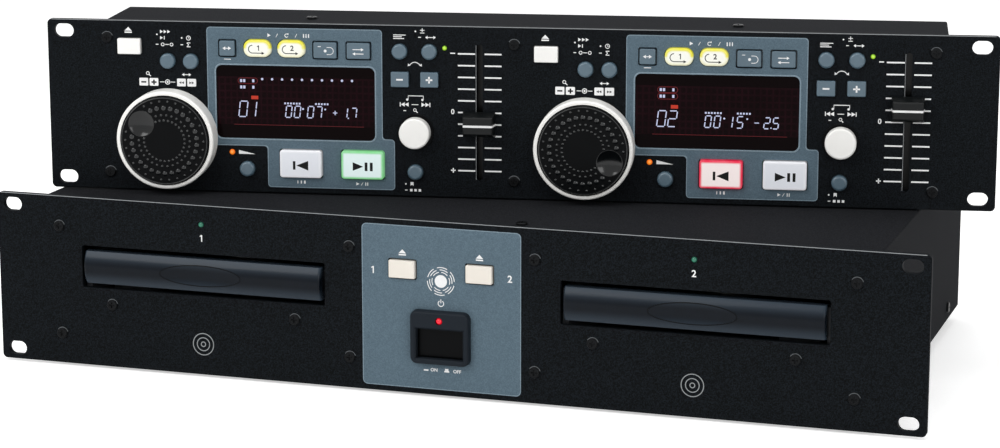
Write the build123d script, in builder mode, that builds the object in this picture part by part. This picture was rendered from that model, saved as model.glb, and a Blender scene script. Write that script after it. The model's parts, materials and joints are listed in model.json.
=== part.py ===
"""Dual CD player for a DJ: a 2U player with two disc trays, and a 2U remote controller that
stands on it.

Millimetres. +X right, +Y to the rear, +Z up; both units face -Y. The origin is the centre of the
player's four rack slots, on the rear face of its front panel. On either front panel a place is
given as (u, v): u to the right of the panel's middle, v above the panel's lower edge.
"""

import os
from math import cos, radians, sin

from build123d import *

os.makedirs("parts", exist_ok=True)

# ---------------------------------------------------------------- both front panels (19 inch, 2U)
PANEL_W, PANEL_H, PANEL_T = 482.6, 88.0, 3.0
PANEL_CORNER_R = 2.5
PANEL_EDGE = 0.4
SLOT_PITCH_U, SLOT_PITCH_V = 465.1, 76.2
SLOT_LENGTH, SLOT_W = 10.2, 7.0
SHEET_T = 1.2

# ---------------------------------------------------------------- screws
SCREW_R, SCREW_BORE_R, SCREW_CLEAR_R = 1.45, 1.5, 1.7
HEAD_R, HEAD_H, HEAD_EDGE = 2.8, 1.2, 0.6
SCREW_LENGTH, CASE_SCREW_LENGTH, TOP_SCREW_LENGTH, SIDE_SCREW_LENGTH = 8.0, 6.0, 5.0, 1.3
CROSS_W, CROSS_DEPTH = 0.7, 0.7

# ------------------------------------------------------- buttons, as depths behind a panel's face
BUTTON_TRAVEL = 1.2
FLANGE_FRONT, FLANGE_T, FLANGE_RIM = 3.1, 1.2, 0.7
SWITCH_FRONT = FLANGE_FRONT + FLANGE_T + BUTTON_TRAVEL + 0.3
BOARD_FRONT, BOARD_T = 9.8, 1.6
SWITCH_SIZE = 6.0
LED_GAP, LED_SUNK = 0.1, 0.36
BORE_GAP = 0.1

# ---------------------------------------------------------------- player body
PLAYER_HALF_W, PLAYER_REAR_Y = 217.0, 237.0
FLOOR_V = 6.8
COVER_TOP_V = 86.8
SIDE_FLANGE_H = 14.0
FRONT_FLANGE_U = 200.0
FOOT_R, FOOT_H, FOOT_EDGE = 9.0, 8.0, 1.0
PLAYER_FOOT_X, PLAYER_FOOT_Y = 180.0, (28.0, 205.0)
LID_OVERHANG, LID_GAP, FOLD_R = 0.6, 0.2, 1.0
REAR_SOCKET_V, CUTOUT_GAP = 30.0, 0.1
INLET_X, INLET_W, INLET_H, INLET_DEPTH, INLET_OUT = -165.0, 27.0, 20.0, 18.0, 0.6
INLET_CAVITY_W, INLET_CAVITY_H, INLET_CAVITY_DEPTH = 24.0, 16.0, 15.0
INLET_PINS, PIN_W, PIN_H, PIN_RECESS = [(-7.0, -2.0), (0.0, 2.0), (7.0, -2.0)], 2.0, 4.0, 6.0
PHONO_X, PHONO_R, PHONO_CORE_R = (60.0, 80.0, 110.0, 130.0), 4.2, 1.6
PHONO_OUT, PHONO_IN = 7.0, 10.0
REMOTE_SOCKET_X, REMOTE_SOCKET_R = (-30.0, 0.0), 6.6
SOCKET_WALL, SOCKET_OUT, SOCKET_IN = 1.0, 0.4, 1.8
PHONO_BLOCK, ROUND_BLOCK, BLOCK_DEPTH, BLOCK_GAP = 12.0, 16.0, 9.0, 0.05
COVER_SCREWS_TOP = [(38.0, 8.5), (-190.0, 226.0), (190.0, 226.0)]
COVER_SCREWS_SIDE = [(60.0, 14.0), (200.0, 14.0)]

# ---------------------------------------------------------------- player front
DECK_U = 127.7
TRAY_OPENING_W, TRAY_OPENING_V, TRAY_OPENING_R = 133.0, (41.0, 63.0), 1.0
PLAYER_CORNER_SCREWS = [(u, v) for u in (-206.5, -48.2, 48.2, 206.5) for v in (15.9, 72.3)]
LOADER_SCREW_OFFSET, LOADER_SCREW_V = 50.1, 32.8
PLAYER_LED_V, LED_R, LED_HOLE_R = 78.0, 1.45, 1.6
EJECT_U, EJECT_V, EJECT_W, EJECT_H, EJECT_GAP = 20.0, 63.0, 13.6, 8.9, 0.7
EJECT_CORNER_R, EJECT_PROUD = 0.6, 2.0
BEZEL_W, BEZEL_V, BEZEL_PROUD, BEZEL_R, BEZEL_EDGE = 31.0, (16.0, 43.4), 4.0, 3.6, 1.4
BEZEL_TAPER, BEZEL_SLOPE = 6.0, 0.8
POWER_W, POWER_H, POWER_V, POWER_R, POWER_GAP = 24.0, 14.6, 26.6, 0.5, 0.3
POWER_FACE_DEPTH, POWER_TRAVEL, POWER_FLANGE_GAP, POWER_FLANGE_RIM = 0.2, 3.5, 0.4, 1.2
POWER_LED_V, POWER_LED_R, POWER_LED_PROUD = 38.6, 1.75, 2.55

# ---------------------------------------------------------------- disc loader, one for each deck
DISC_Y = 66.5
DISC_RECESS_R, DISC_RECESS_DEPTH, SMALL_DISC_R, SMALL_DISC_DEPTH = 60.5, 1.6, 40.6, 1.0
TRAY_HALF_W, TRAY_V, TRAY_REAR_Y, TRAY_RAIL_REAR_Y = 63.0, (47.0, 52.4), 134.0, 192.0
TRAY_RAIL_W = 7.0
TRAY_SLOT_W = 35.0
DOOR_W, DOOR_V, DOOR_REAR_Y, DOOR_CROWN, DOOR_SIDE_EDGE = 129.0, (43.5, 60.2), 2.0, 2.8, 1.2
DOOR_SEAT = 0.05
GRIP_LENGTH, GRIP_DEPTH, GRIP_R = 44.0, 1.6, 24.4
LOADER_WALL_IN, LOADER_WALL_T, LOADER_FRONT_Y, LOADER_REAR_Y = 64.0, 3.0, 3.0, 200.0
LOADER_TOP_V, LOADER_DECK_V, LOADER_DECK_T, LOADER_MOUTH_GAP = 58.0, 26.0, 2.5, 1.0
DECK_WINDOW_W, DECK_WINDOW_L, DECK_WINDOW_SHIFT = 26.0, 44.0, 12.0
LEDGE_W, LEDGE_T, LEDGE_GAP = 2.6, 1.8, 0.2
BRIDGE_W, BRIDGE_T = 26.0, 2.0
PUCK_R, PUCK_NECK_R, PUCK_V, PUCK_GAP, PUCK_NECK_GAP = 14.0, 10.0, (53.2, 60.6), 0.2, 0.4
PUCK_FOOT_T, PUCK_HEAD_T = 2.4, 1.6
HUB_R, HUB_V, CONE_R, SPINDLE_R = 14.5, (48.4, 51.2), 7.4, 1.5
MOTOR_R, MOTOR_TOP_V, MOTOR_GAP = 11.0, 40.0, 0.3
LOADING_MOTOR_X, LOADING_MOTOR_Y = 48.0, 24.0
LOADING_MOTOR_W, LOADING_MOTOR_L, LOADING_MOTOR_H = 20.0, 15.0, 12.0
ROD_R, ROD_OFFSET, ROD_V, ROD_Y = 1.5, 17.0, 38.0, (DISC_Y + 12.0, DISC_Y + 82.0)
LUG_W, LUG_T, LUG_RISE = 6.0, 3.0, 3.0
SLED_W, SLED_LENGTH, SLED_R = 44.0, 22.0, 2.0
SLED_V, SLED_START_Y = (34.5, 42.0), DISC_Y + 32.0
LENS_R, LENS_H = 3.5, 2.0

# ---------------------------------------------------------------- player boards and mains supply
FRONT_BOARD_W, FRONT_BOARD_H, FRONT_BOARD_V = 108.0, 72.0, 45.0
LED_BOARD_W, LED_BOARD_H, LED_BOARD_V = 280.0, 13.0, 74.5
SPACER_R = 3.2
POWER_SWITCH_W, POWER_SWITCH_H, POWER_SWITCH_L = 20.0, 12.0, 22.0
MAIN_BOARD_V, MAIN_BOARD_Y, MAIN_BOARD_W, MAIN_BOARD_L = 16.0, 105.0, 112.0, 120.0
MAIN_POST_PITCH_X, MAIN_POST_PITCH_Y, MAIN_POST_R = 100.0, 108.0, 3.0
CHIPS_AT, CHIP_SIZE, CHIP_H = [(-25.0, 80.0), (25.0, 80.0), (0.0, 125.0)], 24.0, 2.4
CAPACITORS_AT = [(-42.0, 140.0), (-26.0, 148.0), (42.0, 140.0), (28.0, 150.0)]
CAPACITOR_R, CAPACITOR_H = 6.0, 22.0
TRANSFORMER_Y, CORE_W, CORE_L, CORE_H, CORE_R = 192.0, 64.0, 36.0, 40.0, 2.0
COIL_W, COIL_L, COIL_LIFT, COIL_H, COIL_R = 44.0, 48.0, 8.0, 24.0, 4.0

# ---------------------------------------------------------------- controller, as it stands on the player
CTL_ANGLE = 10.5
CTL_X, CTL_Y, CTL_Z = 16.6, 62.8, 43.5
CASE_HALF_W, CASE_V, CASE_DEPTH = 216.5, (3.0, 85.0), 69.5
CASE_FLANGE_W = 10.0
CASE_TAB_W, CASE_TAB_H = 16.0, 12.0
PANEL_SCREWS = [(u, v) for u in (-210.0, 0.0, 210.0) for v in (9.0, 79.0)]
CASE_TOP_SCREWS = [(-110.5, 37.0), (110.5, 37.0)]
CTL_FOOT_R, CTL_FOOT_X, CTL_FOOT_Y, CTL_FOOT_EDGE = 6.5, 185.0, (14.0, 60.0), 0.6
CTL_SOCKET_U, CTL_SOCKET_V, CTL_SOCKET_R = 120.0, 40.0, 6.6
CTL_SOCKET_LENGTH, CTL_BLOCK_DEPTH = 4.2, 12.0
CTL_BOARD_W, CTL_BOARD_H = 410.0, 74.0

# ------------------------------------------- controls of one deck; deck 2 is DECK_PITCH further right
DECK_PITCH = 214.5
# name: (u, v, width, height, corner radius, stands proud, gap to the hole)
RECT_BUTTONS = {
    "open_close_button": (-198.2, 74.7, 12.0, 8.0, 0.6, 2.2, 0.35),
    "flip_button": (-147.2, 74.6, 8.0, 7.8, 0.8, 1.6, 0.7),
    "a1_button": (-131.5, 74.8, 14.2, 8.8, 4.0, 1.6, 0.35),
    "a2_button": (-114.0, 74.9, 14.2, 8.8, 4.0, 1.6, 0.35),
    "b_button": (-96.5, 74.5, 11.9, 8.2, 0.8, 1.6, 0.7),
    "exit_button": (-79.4, 74.5, 11.9, 8.2, 0.8, 1.6, 0.7),
    "cue_button": (-109.7, 15.6, 21.6, 14.2, 1.2, 2.4, 0.5),
    "play_button": (-77.7, 15.8, 21.8, 14.4, 1.2, 2.4, 0.5),
    "bend_minus_button": (-58.2, 60.4, 9.2, 7.8, 0.6, 1.8, 0.35),
    "bend_plus_button": (-43.1, 60.5, 9.2, 7.8, 0.6, 1.8, 0.35),
}
BUTTON_EDGE = 0.5
# name: (u, v)
ROUND_BUTTONS = {
    "cont_button": (-178.3, 67.4),
    "time_button": (-166.3, 67.4),
    "brake_button": (-137.7, 12.3),
    "title_button": (-58.3, 74.6),
    "key_button": (-43.1, 74.7),
    "memo_button": (-50.5, 12.7),
}
ROUND_D, ROUND_PROUD, ROUND_GAP, ROUND_EDGE = 8.0, 2.6, 0.3, 1.4
WINDOW_U, WINDOW_V, WINDOW_W, WINDOW_H, WINDOW_R = -112.25, 47.05, 82.1, 37.7, 3.0
WINDOW_GAP, WINDOW_DEPTH, WINDOW_T = 0.15, 0.3, 2.0
MODULE_RIM, MODULE_GAP = 0.5, 0.9
BRAKE_LED_U, BRAKE_LED_V, BRAKE_LED_R = -145.7, 20.8, 1.45
KEY_LED_U, KEY_LED_V, KEY_LED_R = -35.4, 76.7, 1.2
POST_UV, POST_R = [(-203.0, 45.0), (-66.5, 45.0)], 2.0

# Jog wheel and the sprung scan ring around it, on one axis.
JOG_U, JOG_V = -178.3, 27.9
RING_R, RING_BORE_R, RING_BACK, RING_FLOOR, RING_PROUD, RING_EDGE = 25.3, 23.35, 0.5, 2.0, 11.0, 1.0
SLEEVE_R, SLEEVE_BORE_R, SLEEVE_END, SHAFT_HOLE_GAP = 7.4, 5.1, 7.6, 0.6
JOG_R, JOG_BACK, JOG_PROUD, JOG_EDGE, JOG_SHAFT_R, JOG_SHAFT_END = 22.9, 2.5, 12.0, 0.8, 5.0, 15.0
DIMPLE_R, DIMPLE_DEPTH, DIMPLE_DISTANCE = 6.35, 1.4, 14.65
DIMPLE_TURN = {1: 144.0, 2: -23.5}
ENCODER_R, ENCODER_FRONT, ENCODER_REAR, SHAFT_END_GAP = 12.0, 8.0, 18.0, 0.4

# Track knob and pitch fader.
KNOB_U, KNOB_V, KNOB_R, KNOB_BACK, KNOB_PROUD, KNOB_EDGE = -50.3, 33.4, 7.85, 0.8, 6.5, 1.0
KNOB_SHAFT_R, KNOB_SHAFT_END, KNOB_ENCODER_R, KNOB_ENCODER_FRONT = 3.0, 8.5, 6.0, 4.5
FADER_U, FADER_SLOT_V, FADER_SLOT_W = -17.6, (8.9, 78.9), 3.2
FADER_AT = {1: 38.3, 2: 50.9}
CAP_W, CAP_H, CAP_BACK, CAP_FOOT = 16.4, 12.6, 1.0, 1.2
CAP_TOP_W, CAP_TOP_H, CAP_PROUD, CAP_EDGE = 15.0, 8.8, 8.2, 0.5
STEM_W, STEM_H, STEM_END = 2.4, 6.0, 8.0
TRACK_W, TRACK_FRONT, TRACK_GROOVE_W, TRACK_END = 10.0, 4.0, 3.4, 3.0


def player_face(depth=0.0):
    """The plane `depth` behind the player's front face, with (u, v) as its own x and y."""
    origin = (0, -PANEL_T, -PANEL_H / 2)
    return Plane(origin=origin, x_dir=(1, 0, 0), z_dir=(0, -1, 0)).offset(-depth)


def controller_face(depth=0.0):
    """The same for the controller, which stands turned on the player's cover."""
    turn = radians(CTL_ANGLE)
    face = Plane(
        origin=(CTL_X, CTL_Y, CTL_Z),
        x_dir=(cos(turn), sin(turn), 0),
        z_dir=(sin(turn), -cos(turn), 0),
    )
    return face.offset(-depth)


def controller_level(v):
    """A level plane at height v on the controller, with x along the panel and y to its rear."""
    turn = radians(CTL_ANGLE)
    return Plane(
        origin=(CTL_X, CTL_Y, CTL_Z + v), x_dir=(cos(turn), sin(turn), 0), z_dir=(0, 0, 1)
    )


def player_level(v):
    """A level plane at height v above the lower edge of the player's panel."""
    return Plane.XY.offset(v - PANEL_H / 2)


def side_plane(face, u, v):
    """A plane across a panel at (u, v), with x up and y towards the viewer."""
    return Plane(origin=face.from_local_coords((u, v, 0)), x_dir=face.y_dir, z_dir=face.x_dir)


def outward(face):
    """The axis that faces are sorted along, so that the last one is the outermost."""
    return Axis(face.origin, face.z_dir)


def deck_u(u, deck):
    """The same control on deck 1 or deck 2."""
    return u + (deck - 1) * DECK_PITCH


def keep(piece, node):
    """Label a finished piece and write it."""
    piece.part.label = node
    export_step(piece.part, f"parts/{node}.step")


def keep_together(pieces, node):
    """Write several pieces that are fixed to each other as one node of separate solids."""
    group = Compound(label=node, children=[piece.part for piece in pieces])
    export_step(group, f"parts/{node}.step")


# ================================================================ pieces that both units share


def rack_panel_outline():
    """A 2U rack panel's outline with its four open slots, in the sketch that is being made."""
    with Locations((0, PANEL_H / 2)):
        RectangleRounded(PANEL_W, PANEL_H, PANEL_CORNER_R)
        with GridLocations(SLOT_PITCH_U, SLOT_PITCH_V, 2, 2):
            SlotOverall(SLOT_LENGTH, SLOT_W, mode=Mode.SUBTRACT)


def rect_hole(u, v, width, height, corner, gap):
    """A button's rounded hole, in the sketch that is being made."""
    with Locations((u, v)):
        RectangleRounded(width + 2 * gap, height + 2 * gap, corner + gap, mode=Mode.SUBTRACT)


def round_hole(u, v, radius):
    """A round hole, in the sketch that is being made."""
    with Locations((u, v)):
        Circle(radius, mode=Mode.SUBTRACT)


def rect_button(face, u, v, width, height, corner, proud):
    """A moulded cap standing proud of its hole, with a flange that keeps it behind the panel."""
    with BuildPart() as button:
        with BuildSketch(face.offset(-FLANGE_FRONT)):
            with Locations((u, v)):
                RectangleRounded(width, height, corner)
        extrude(amount=FLANGE_FRONT + proud)
        fillet(button.faces().sort_by(outward(face))[-1].edges(), BUTTON_EDGE)
        with BuildSketch(face.offset(-FLANGE_FRONT)):
            with Locations((u, v)):
                Rectangle(width + 2 * FLANGE_RIM, height + 2 * FLANGE_RIM)
        extrude(amount=-FLANGE_T)
    return button


def round_button(face, u, v):
    """A round cap of the same construction."""
    with BuildPart() as button:
        with BuildSketch(face.offset(-FLANGE_FRONT)):
            with Locations((u, v)):
                Circle(ROUND_D / 2)
        extrude(amount=FLANGE_FRONT + ROUND_PROUD)
        fillet(button.faces().sort_by(outward(face))[-1].edges(), ROUND_EDGE)
        with BuildSketch(face.offset(-FLANGE_FRONT)):
            with Locations((u, v)):
                Circle(ROUND_D / 2 + FLANGE_RIM)
        extrude(amount=-FLANGE_T)
    return button


def screws(face, places, length=SCREW_LENGTH):
    """Pan-head screws with a cross recess, seated on `face`."""
    with BuildPart() as group:
        with BuildSketch(face):
            with Locations(*places):
                Circle(HEAD_R)
        extrude(amount=HEAD_H)
        fillet(group.faces().group_by(outward(face))[-1].edges(), HEAD_EDGE)
        with BuildSketch(face.offset(HEAD_H)):
            with Locations(*places):
                Rectangle(HEAD_R * 1.1, CROSS_W)
                Rectangle(CROSS_W, HEAD_R * 1.1)
        extrude(amount=-CROSS_DEPTH, mode=Mode.SUBTRACT)
        with BuildSketch(face):
            with Locations(*places):
                Circle(SCREW_R)
        extrude(amount=-length)
    return group


def feet(level, places, radius, height, edge):
    """Round feet hanging from a level plane, chamfered where they stand."""
    with BuildPart() as group:
        with BuildSketch(level):
            with Locations(*places):
                Circle(radius)
        extrude(amount=-height)
        chamfer(group.faces().group_by(Axis.Z)[0].edges(), edge)
    return group


# ================================================================ player: sheet metal

player_open_holes = [(-EJECT_U, EJECT_V), (EJECT_U, EJECT_V)]
loader_screws = [
    (side * DECK_U + offset, LOADER_SCREW_V)
    for side in (-1, 1)
    for offset in (-LOADER_SCREW_OFFSET, LOADER_SCREW_OFFSET)
]
opening_v = sum(TRAY_OPENING_V) / 2
opening_h = TRAY_OPENING_V[1] - TRAY_OPENING_V[0]
bezel_v = sum(BEZEL_V) / 2
bezel_h = BEZEL_V[1] - BEZEL_V[0]

with BuildPart() as player_front_panel:
    with BuildSketch(player_face(PANEL_T)):
        rack_panel_outline()
        for side in (-1, 1):
            rect_hole(side * DECK_U, opening_v, TRAY_OPENING_W, opening_h, TRAY_OPENING_R, 0)
            rect_hole(side * EJECT_U, EJECT_V, EJECT_W, EJECT_H, EJECT_CORNER_R, EJECT_GAP)
            round_hole(side * DECK_U, PLAYER_LED_V, LED_HOLE_R)
        rect_hole(0, POWER_V, POWER_W, POWER_H, POWER_R, POWER_GAP)
        round_hole(0, POWER_LED_V, POWER_LED_R + LED_GAP)
        for u, v in PLAYER_CORNER_SCREWS + loader_screws:
            round_hole(u, v, SCREW_CLEAR_R)
    extrude(amount=PANEL_T)
    rim = player_front_panel.faces().sort_by(outward(player_face()))[-1].outer_wire()
    chamfer(rim.edges(), PANEL_EDGE)

# The raised bezel around the power button is moulded apart and sits on the panel's face.
with BuildPart() as power_bezel:
    with BuildSketch(player_face()):
        with Locations((0, bezel_v)):
            RectangleRounded(BEZEL_W, bezel_h, BEZEL_R)
    extrude(amount=BEZEL_PROUD, taper=BEZEL_TAPER)
    fillet(power_bezel.faces().sort_by(outward(player_face()))[-1].edges(), BEZEL_EDGE)
    with BuildSketch(player_face(-BEZEL_PROUD)):
        with Locations((0, POWER_V)):
            slope_rim = 2 * (POWER_GAP + BEZEL_SLOPE)
            Rectangle(POWER_W + slope_rim, POWER_H + slope_rim)
    extrude(amount=-BEZEL_SLOPE, taper=45, mode=Mode.SUBTRACT)
    with BuildSketch(player_face()):
        with Locations((0, POWER_V)):
            Rectangle(POWER_W + 2 * POWER_GAP, POWER_H + 2 * POWER_GAP)
        with Locations((0, POWER_LED_V)):
            Circle(POWER_LED_R + LED_GAP)
    extrude(amount=BEZEL_PROUD, mode=Mode.SUBTRACT)

keep_together([player_front_panel, power_bezel], "player_front_panel")

# Pan: floor, low side flanges, full rear wall, and two front flanges that the panel screws to.
pan_half_w = PLAYER_HALF_W - SHEET_T - LID_GAP
pan_rear_y = PLAYER_REAR_Y - LID_OVERHANG
wall_top_v = COVER_TOP_V - SHEET_T - LID_GAP
rear_face = Plane(origin=(0, pan_rear_y, -PANEL_H / 2), x_dir=(1, 0, 0), z_dir=(0, -1, 0))

with BuildPart() as player_chassis:
    with BuildSketch(player_level(FLOOR_V)):
        with Locations((0, pan_rear_y / 2)):
            Rectangle(2 * pan_half_w, pan_rear_y)
    extrude(amount=SHEET_T)
    with BuildSketch(player_level(FLOOR_V)):
        for side in (-1, 1):
            with Locations((side * (pan_half_w - SHEET_T / 2), pan_rear_y / 2)):
                Rectangle(SHEET_T, pan_rear_y)
    extrude(amount=SIDE_FLANGE_H)
    with BuildSketch(rear_face):
        with Locations((0, (FLOOR_V + wall_top_v) / 2)):
            Rectangle(2 * pan_half_w, wall_top_v - FLOOR_V)
        rect_hole(INLET_X, REAR_SOCKET_V, INLET_W, INLET_H, 0.5, CUTOUT_GAP)
        for x in PHONO_X:
            round_hole(x, REAR_SOCKET_V, PHONO_R + CUTOUT_GAP)
        for x in REMOTE_SOCKET_X:
            round_hole(x, REAR_SOCKET_V, REMOTE_SOCKET_R + CUTOUT_GAP)
    extrude(amount=SHEET_T)
    front_flange_w = pan_half_w - FRONT_FLANGE_U
    with BuildSketch(player_face(PANEL_T)):
        for side in (-1, 1):
            with Locations((side * (FRONT_FLANGE_U + front_flange_w / 2), (FLOOR_V + wall_top_v) / 2)):
                Rectangle(front_flange_w, wall_top_v - FLOOR_V)
        for u, v in PLAYER_CORNER_SCREWS:
            round_hole(u, v, SCREW_BORE_R)
    extrude(amount=-SHEET_T)

# Rear sockets, seated in the rear wall's cut-outs: mains inlet, phono outputs, remote sockets.
with BuildPart() as rear_sockets:
    with BuildSketch(rear_face.offset(-INLET_OUT)):
        with Locations((INLET_X, REAR_SOCKET_V)):
            RectangleRounded(INLET_W, INLET_H, 0.5)
    extrude(amount=INLET_DEPTH)
    with BuildSketch(rear_face.offset(-INLET_OUT)):
        with Locations((INLET_X, REAR_SOCKET_V)):
            RectangleRounded(INLET_CAVITY_W, INLET_CAVITY_H, 2.0)
    extrude(amount=INLET_CAVITY_DEPTH, mode=Mode.SUBTRACT)
    with BuildSketch(rear_face.offset(INLET_DEPTH - INLET_OUT)):
        with Locations(*[(INLET_X + x, REAR_SOCKET_V + v) for x, v in INLET_PINS]):
            Rectangle(PIN_W, PIN_H)
    extrude(amount=PIN_RECESS - INLET_DEPTH)
    with BuildSketch(rear_face.offset(-PHONO_OUT)):
        for x in PHONO_X:
            with Locations((x, REAR_SOCKET_V)):
                Circle(PHONO_R)
                Circle(PHONO_CORE_R, mode=Mode.SUBTRACT)
    extrude(amount=PHONO_OUT + PHONO_IN)
    with BuildSketch(rear_face.offset(SHEET_T + BLOCK_GAP)):
        for x in PHONO_X:
            with Locations((x, REAR_SOCKET_V)):
                Rectangle(PHONO_BLOCK, PHONO_BLOCK)
        for x in REMOTE_SOCKET_X:
            with Locations((x, REAR_SOCKET_V)):
                Rectangle(ROUND_BLOCK, ROUND_BLOCK)
    extrude(amount=BLOCK_DEPTH)
    with BuildSketch(rear_face.offset(-SOCKET_OUT)):
        for x in REMOTE_SOCKET_X:
            with Locations((x, REAR_SOCKET_V)):
                Circle(REMOTE_SOCKET_R)
                Circle(REMOTE_SOCKET_R - SOCKET_WALL, mode=Mode.SUBTRACT)
    extrude(amount=SOCKET_OUT + SOCKET_IN)

keep_together([player_chassis, rear_sockets], "player_chassis")

# Lid: one sheet folded down over both sides.
with BuildPart() as player_top_cover:
    with BuildSketch(Plane.XZ.offset(-PLAYER_REAR_Y)):
        with Locations((0, COVER_TOP_V - PANEL_H / 2)):
            Rectangle(2 * PLAYER_HALF_W, COVER_TOP_V - FLOOR_V, align=(Align.CENTER, Align.MAX))
    extrude(amount=PLAYER_REAR_Y - 0.05)
    fillet(player_top_cover.edges().filter_by(Axis.Y).group_by(Axis.Z)[-1], FOLD_R)
    with BuildSketch(Plane.XZ.offset(-PLAYER_REAR_Y)):
        with Locations((0, COVER_TOP_V - SHEET_T - PANEL_H / 2)):
            Rectangle(2 * (PLAYER_HALF_W - SHEET_T), COVER_TOP_V, align=(Align.CENTER, Align.MAX))
    extrude(amount=PLAYER_REAR_Y, mode=Mode.SUBTRACT)
    with BuildSketch(player_level(COVER_TOP_V)):
        with Locations(*COVER_SCREWS_TOP):
            Circle(SCREW_CLEAR_R)
    extrude(amount=-SHEET_T, mode=Mode.SUBTRACT)
    with BuildSketch(Plane.YZ):
        with Locations(*[(y, v - PANEL_H / 2) for y, v in COVER_SCREWS_SIDE]):
            Circle(SCREW_CLEAR_R)
    extrude(amount=PLAYER_HALF_W + 1, both=True, mode=Mode.SUBTRACT)
keep(player_top_cover, "player_top_cover")

# Panel, loader and lid screws, and the four feet that the object stands on.
lid_sides = [
    Plane(origin=(side * PLAYER_HALF_W, 0, -PANEL_H / 2), x_dir=(0, side, 0), z_dir=(side, 0, 0))
    for side in (-1, 1)
]
player_feet = [(side * PLAYER_FOOT_X, y) for side in (-1, 1) for y in PLAYER_FOOT_Y]
player_fixings = [
    screws(player_face(), PLAYER_CORNER_SCREWS + loader_screws),
    screws(player_level(COVER_TOP_V), COVER_SCREWS_TOP, TOP_SCREW_LENGTH),
    screws(lid_sides[0], [(-y, v) for y, v in COVER_SCREWS_SIDE], SIDE_SCREW_LENGTH),
    screws(lid_sides[1], COVER_SCREWS_SIDE, SIDE_SCREW_LENGTH),
    feet(player_level(FLOOR_V), player_feet, FOOT_R, FOOT_H, FOOT_EDGE),
]
keep_together(player_fixings, "player_fixings")

# ================================================================ player: controls

for number, u in ((1, -EJECT_U), (2, EJECT_U)):
    player_open_button = rect_button(
        player_face(), u, EJECT_V, EJECT_W, EJECT_H, EJECT_CORNER_R, EJECT_PROUD
    )
    keep(player_open_button, f"player_open_button_{number}")

# Latched in, as it is while the player is on.
power_flange_depth = PANEL_T + POWER_TRAVEL + POWER_FLANGE_GAP
with BuildPart() as power_button:
    with BuildSketch(player_face(POWER_FACE_DEPTH)):
        with Locations((0, POWER_V)):
            RectangleRounded(POWER_W, POWER_H, POWER_R)
    extrude(amount=POWER_FACE_DEPTH - power_flange_depth)
    front = power_button.faces().sort_by(outward(player_face()))[-1]
    fillet(front.edges(), BUTTON_EDGE)
    with BuildSketch(player_face(power_flange_depth)):
        with Locations((0, POWER_V)):
            Rectangle(POWER_W + 2 * POWER_FLANGE_RIM, POWER_H + 2 * POWER_FLANGE_RIM)
    extrude(amount=-FLANGE_T)
keep(power_button, "power_button")

# ================================================================ player: disc loaders


def tray_with_door(x):
    """The moulded tray, open to the rear so that it clears the hub, and its curved door piece."""
    tray_t = TRAY_V[1] - TRAY_V[0]
    with BuildPart() as tray:
        with BuildSketch(player_level(TRAY_V[0])):
            front_y = DOOR_REAR_Y + DOOR_SEAT
            with Locations((x, (front_y + TRAY_REAR_Y) / 2)):
                Rectangle(2 * TRAY_HALF_W, TRAY_REAR_Y - front_y)
            for side in (-1, 1):
                rail_x = x + side * (TRAY_HALF_W - TRAY_RAIL_W / 2)
                with Locations((rail_x, (TRAY_REAR_Y + TRAY_RAIL_REAR_Y) / 2)):
                    Rectangle(TRAY_RAIL_W, TRAY_RAIL_REAR_Y - TRAY_REAR_Y)
        extrude(amount=tray_t)
        with BuildSketch(player_level(TRAY_V[1])):
            with Locations((x, DISC_Y)):
                Circle(DISC_RECESS_R)
        extrude(amount=-DISC_RECESS_DEPTH, mode=Mode.SUBTRACT)
        with BuildSketch(player_level(TRAY_V[1] - DISC_RECESS_DEPTH)):
            with Locations((x, DISC_Y)):
                Circle(SMALL_DISC_R)
        extrude(amount=-SMALL_DISC_DEPTH, mode=Mode.SUBTRACT)
        with BuildSketch(player_level(TRAY_V[0])):
            with Locations((x, DISC_Y)):
                Circle(TRAY_SLOT_W / 2)
            with Locations((x, (DISC_Y + TRAY_REAR_Y) / 2)):
                Rectangle(TRAY_SLOT_W, TRAY_REAR_Y - DISC_Y)
        extrude(amount=tray_t, mode=Mode.SUBTRACT)

    door_v = sum(DOOR_V) / 2
    half_h = (DOOR_V[1] - DOOR_V[0]) / 2
    with BuildPart() as door:
        across = side_plane(player_face(), x, door_v)
        with BuildSketch(across):
            with BuildLine():
                back = -(PANEL_T + DOOR_REAR_Y)
                Polyline((half_h, 0), (half_h, back), (-half_h, back), (-half_h, 0))
                ThreePointArc((-half_h, 0), (0, DOOR_CROWN), (half_h, 0))
            make_face()
        extrude(amount=DOOR_W / 2, both=True)
        ends = door.faces().filter_by(Axis.X)
        fillet(ends.edges().filter_by(GeomType.CIRCLE), DOOR_SIDE_EDGE)
        # The finger grip is cut by a long spindle lying across the door.
        spindle_out = DOOR_CROWN - GRIP_DEPTH + GRIP_R
        spindle_axis = Axis(across.from_local_coords((0, spindle_out, 0)), (1, 0, 0))
        with BuildSketch(Plane(origin=spindle_axis.position, x_dir=(1, 0, 0), z_dir=(0, 0, 1))):
            with BuildLine():
                end_r = GRIP_R - GRIP_DEPTH
                half = GRIP_LENGTH / 2
                ThreePointArc((-half, end_r), (0, GRIP_R), (half, end_r))
                Polyline((half, end_r), (half, 0), (-half, 0), (-half, end_r))
            make_face()
        revolve(axis=spindle_axis, mode=Mode.SUBTRACT)
    return [tray, door]


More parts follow.
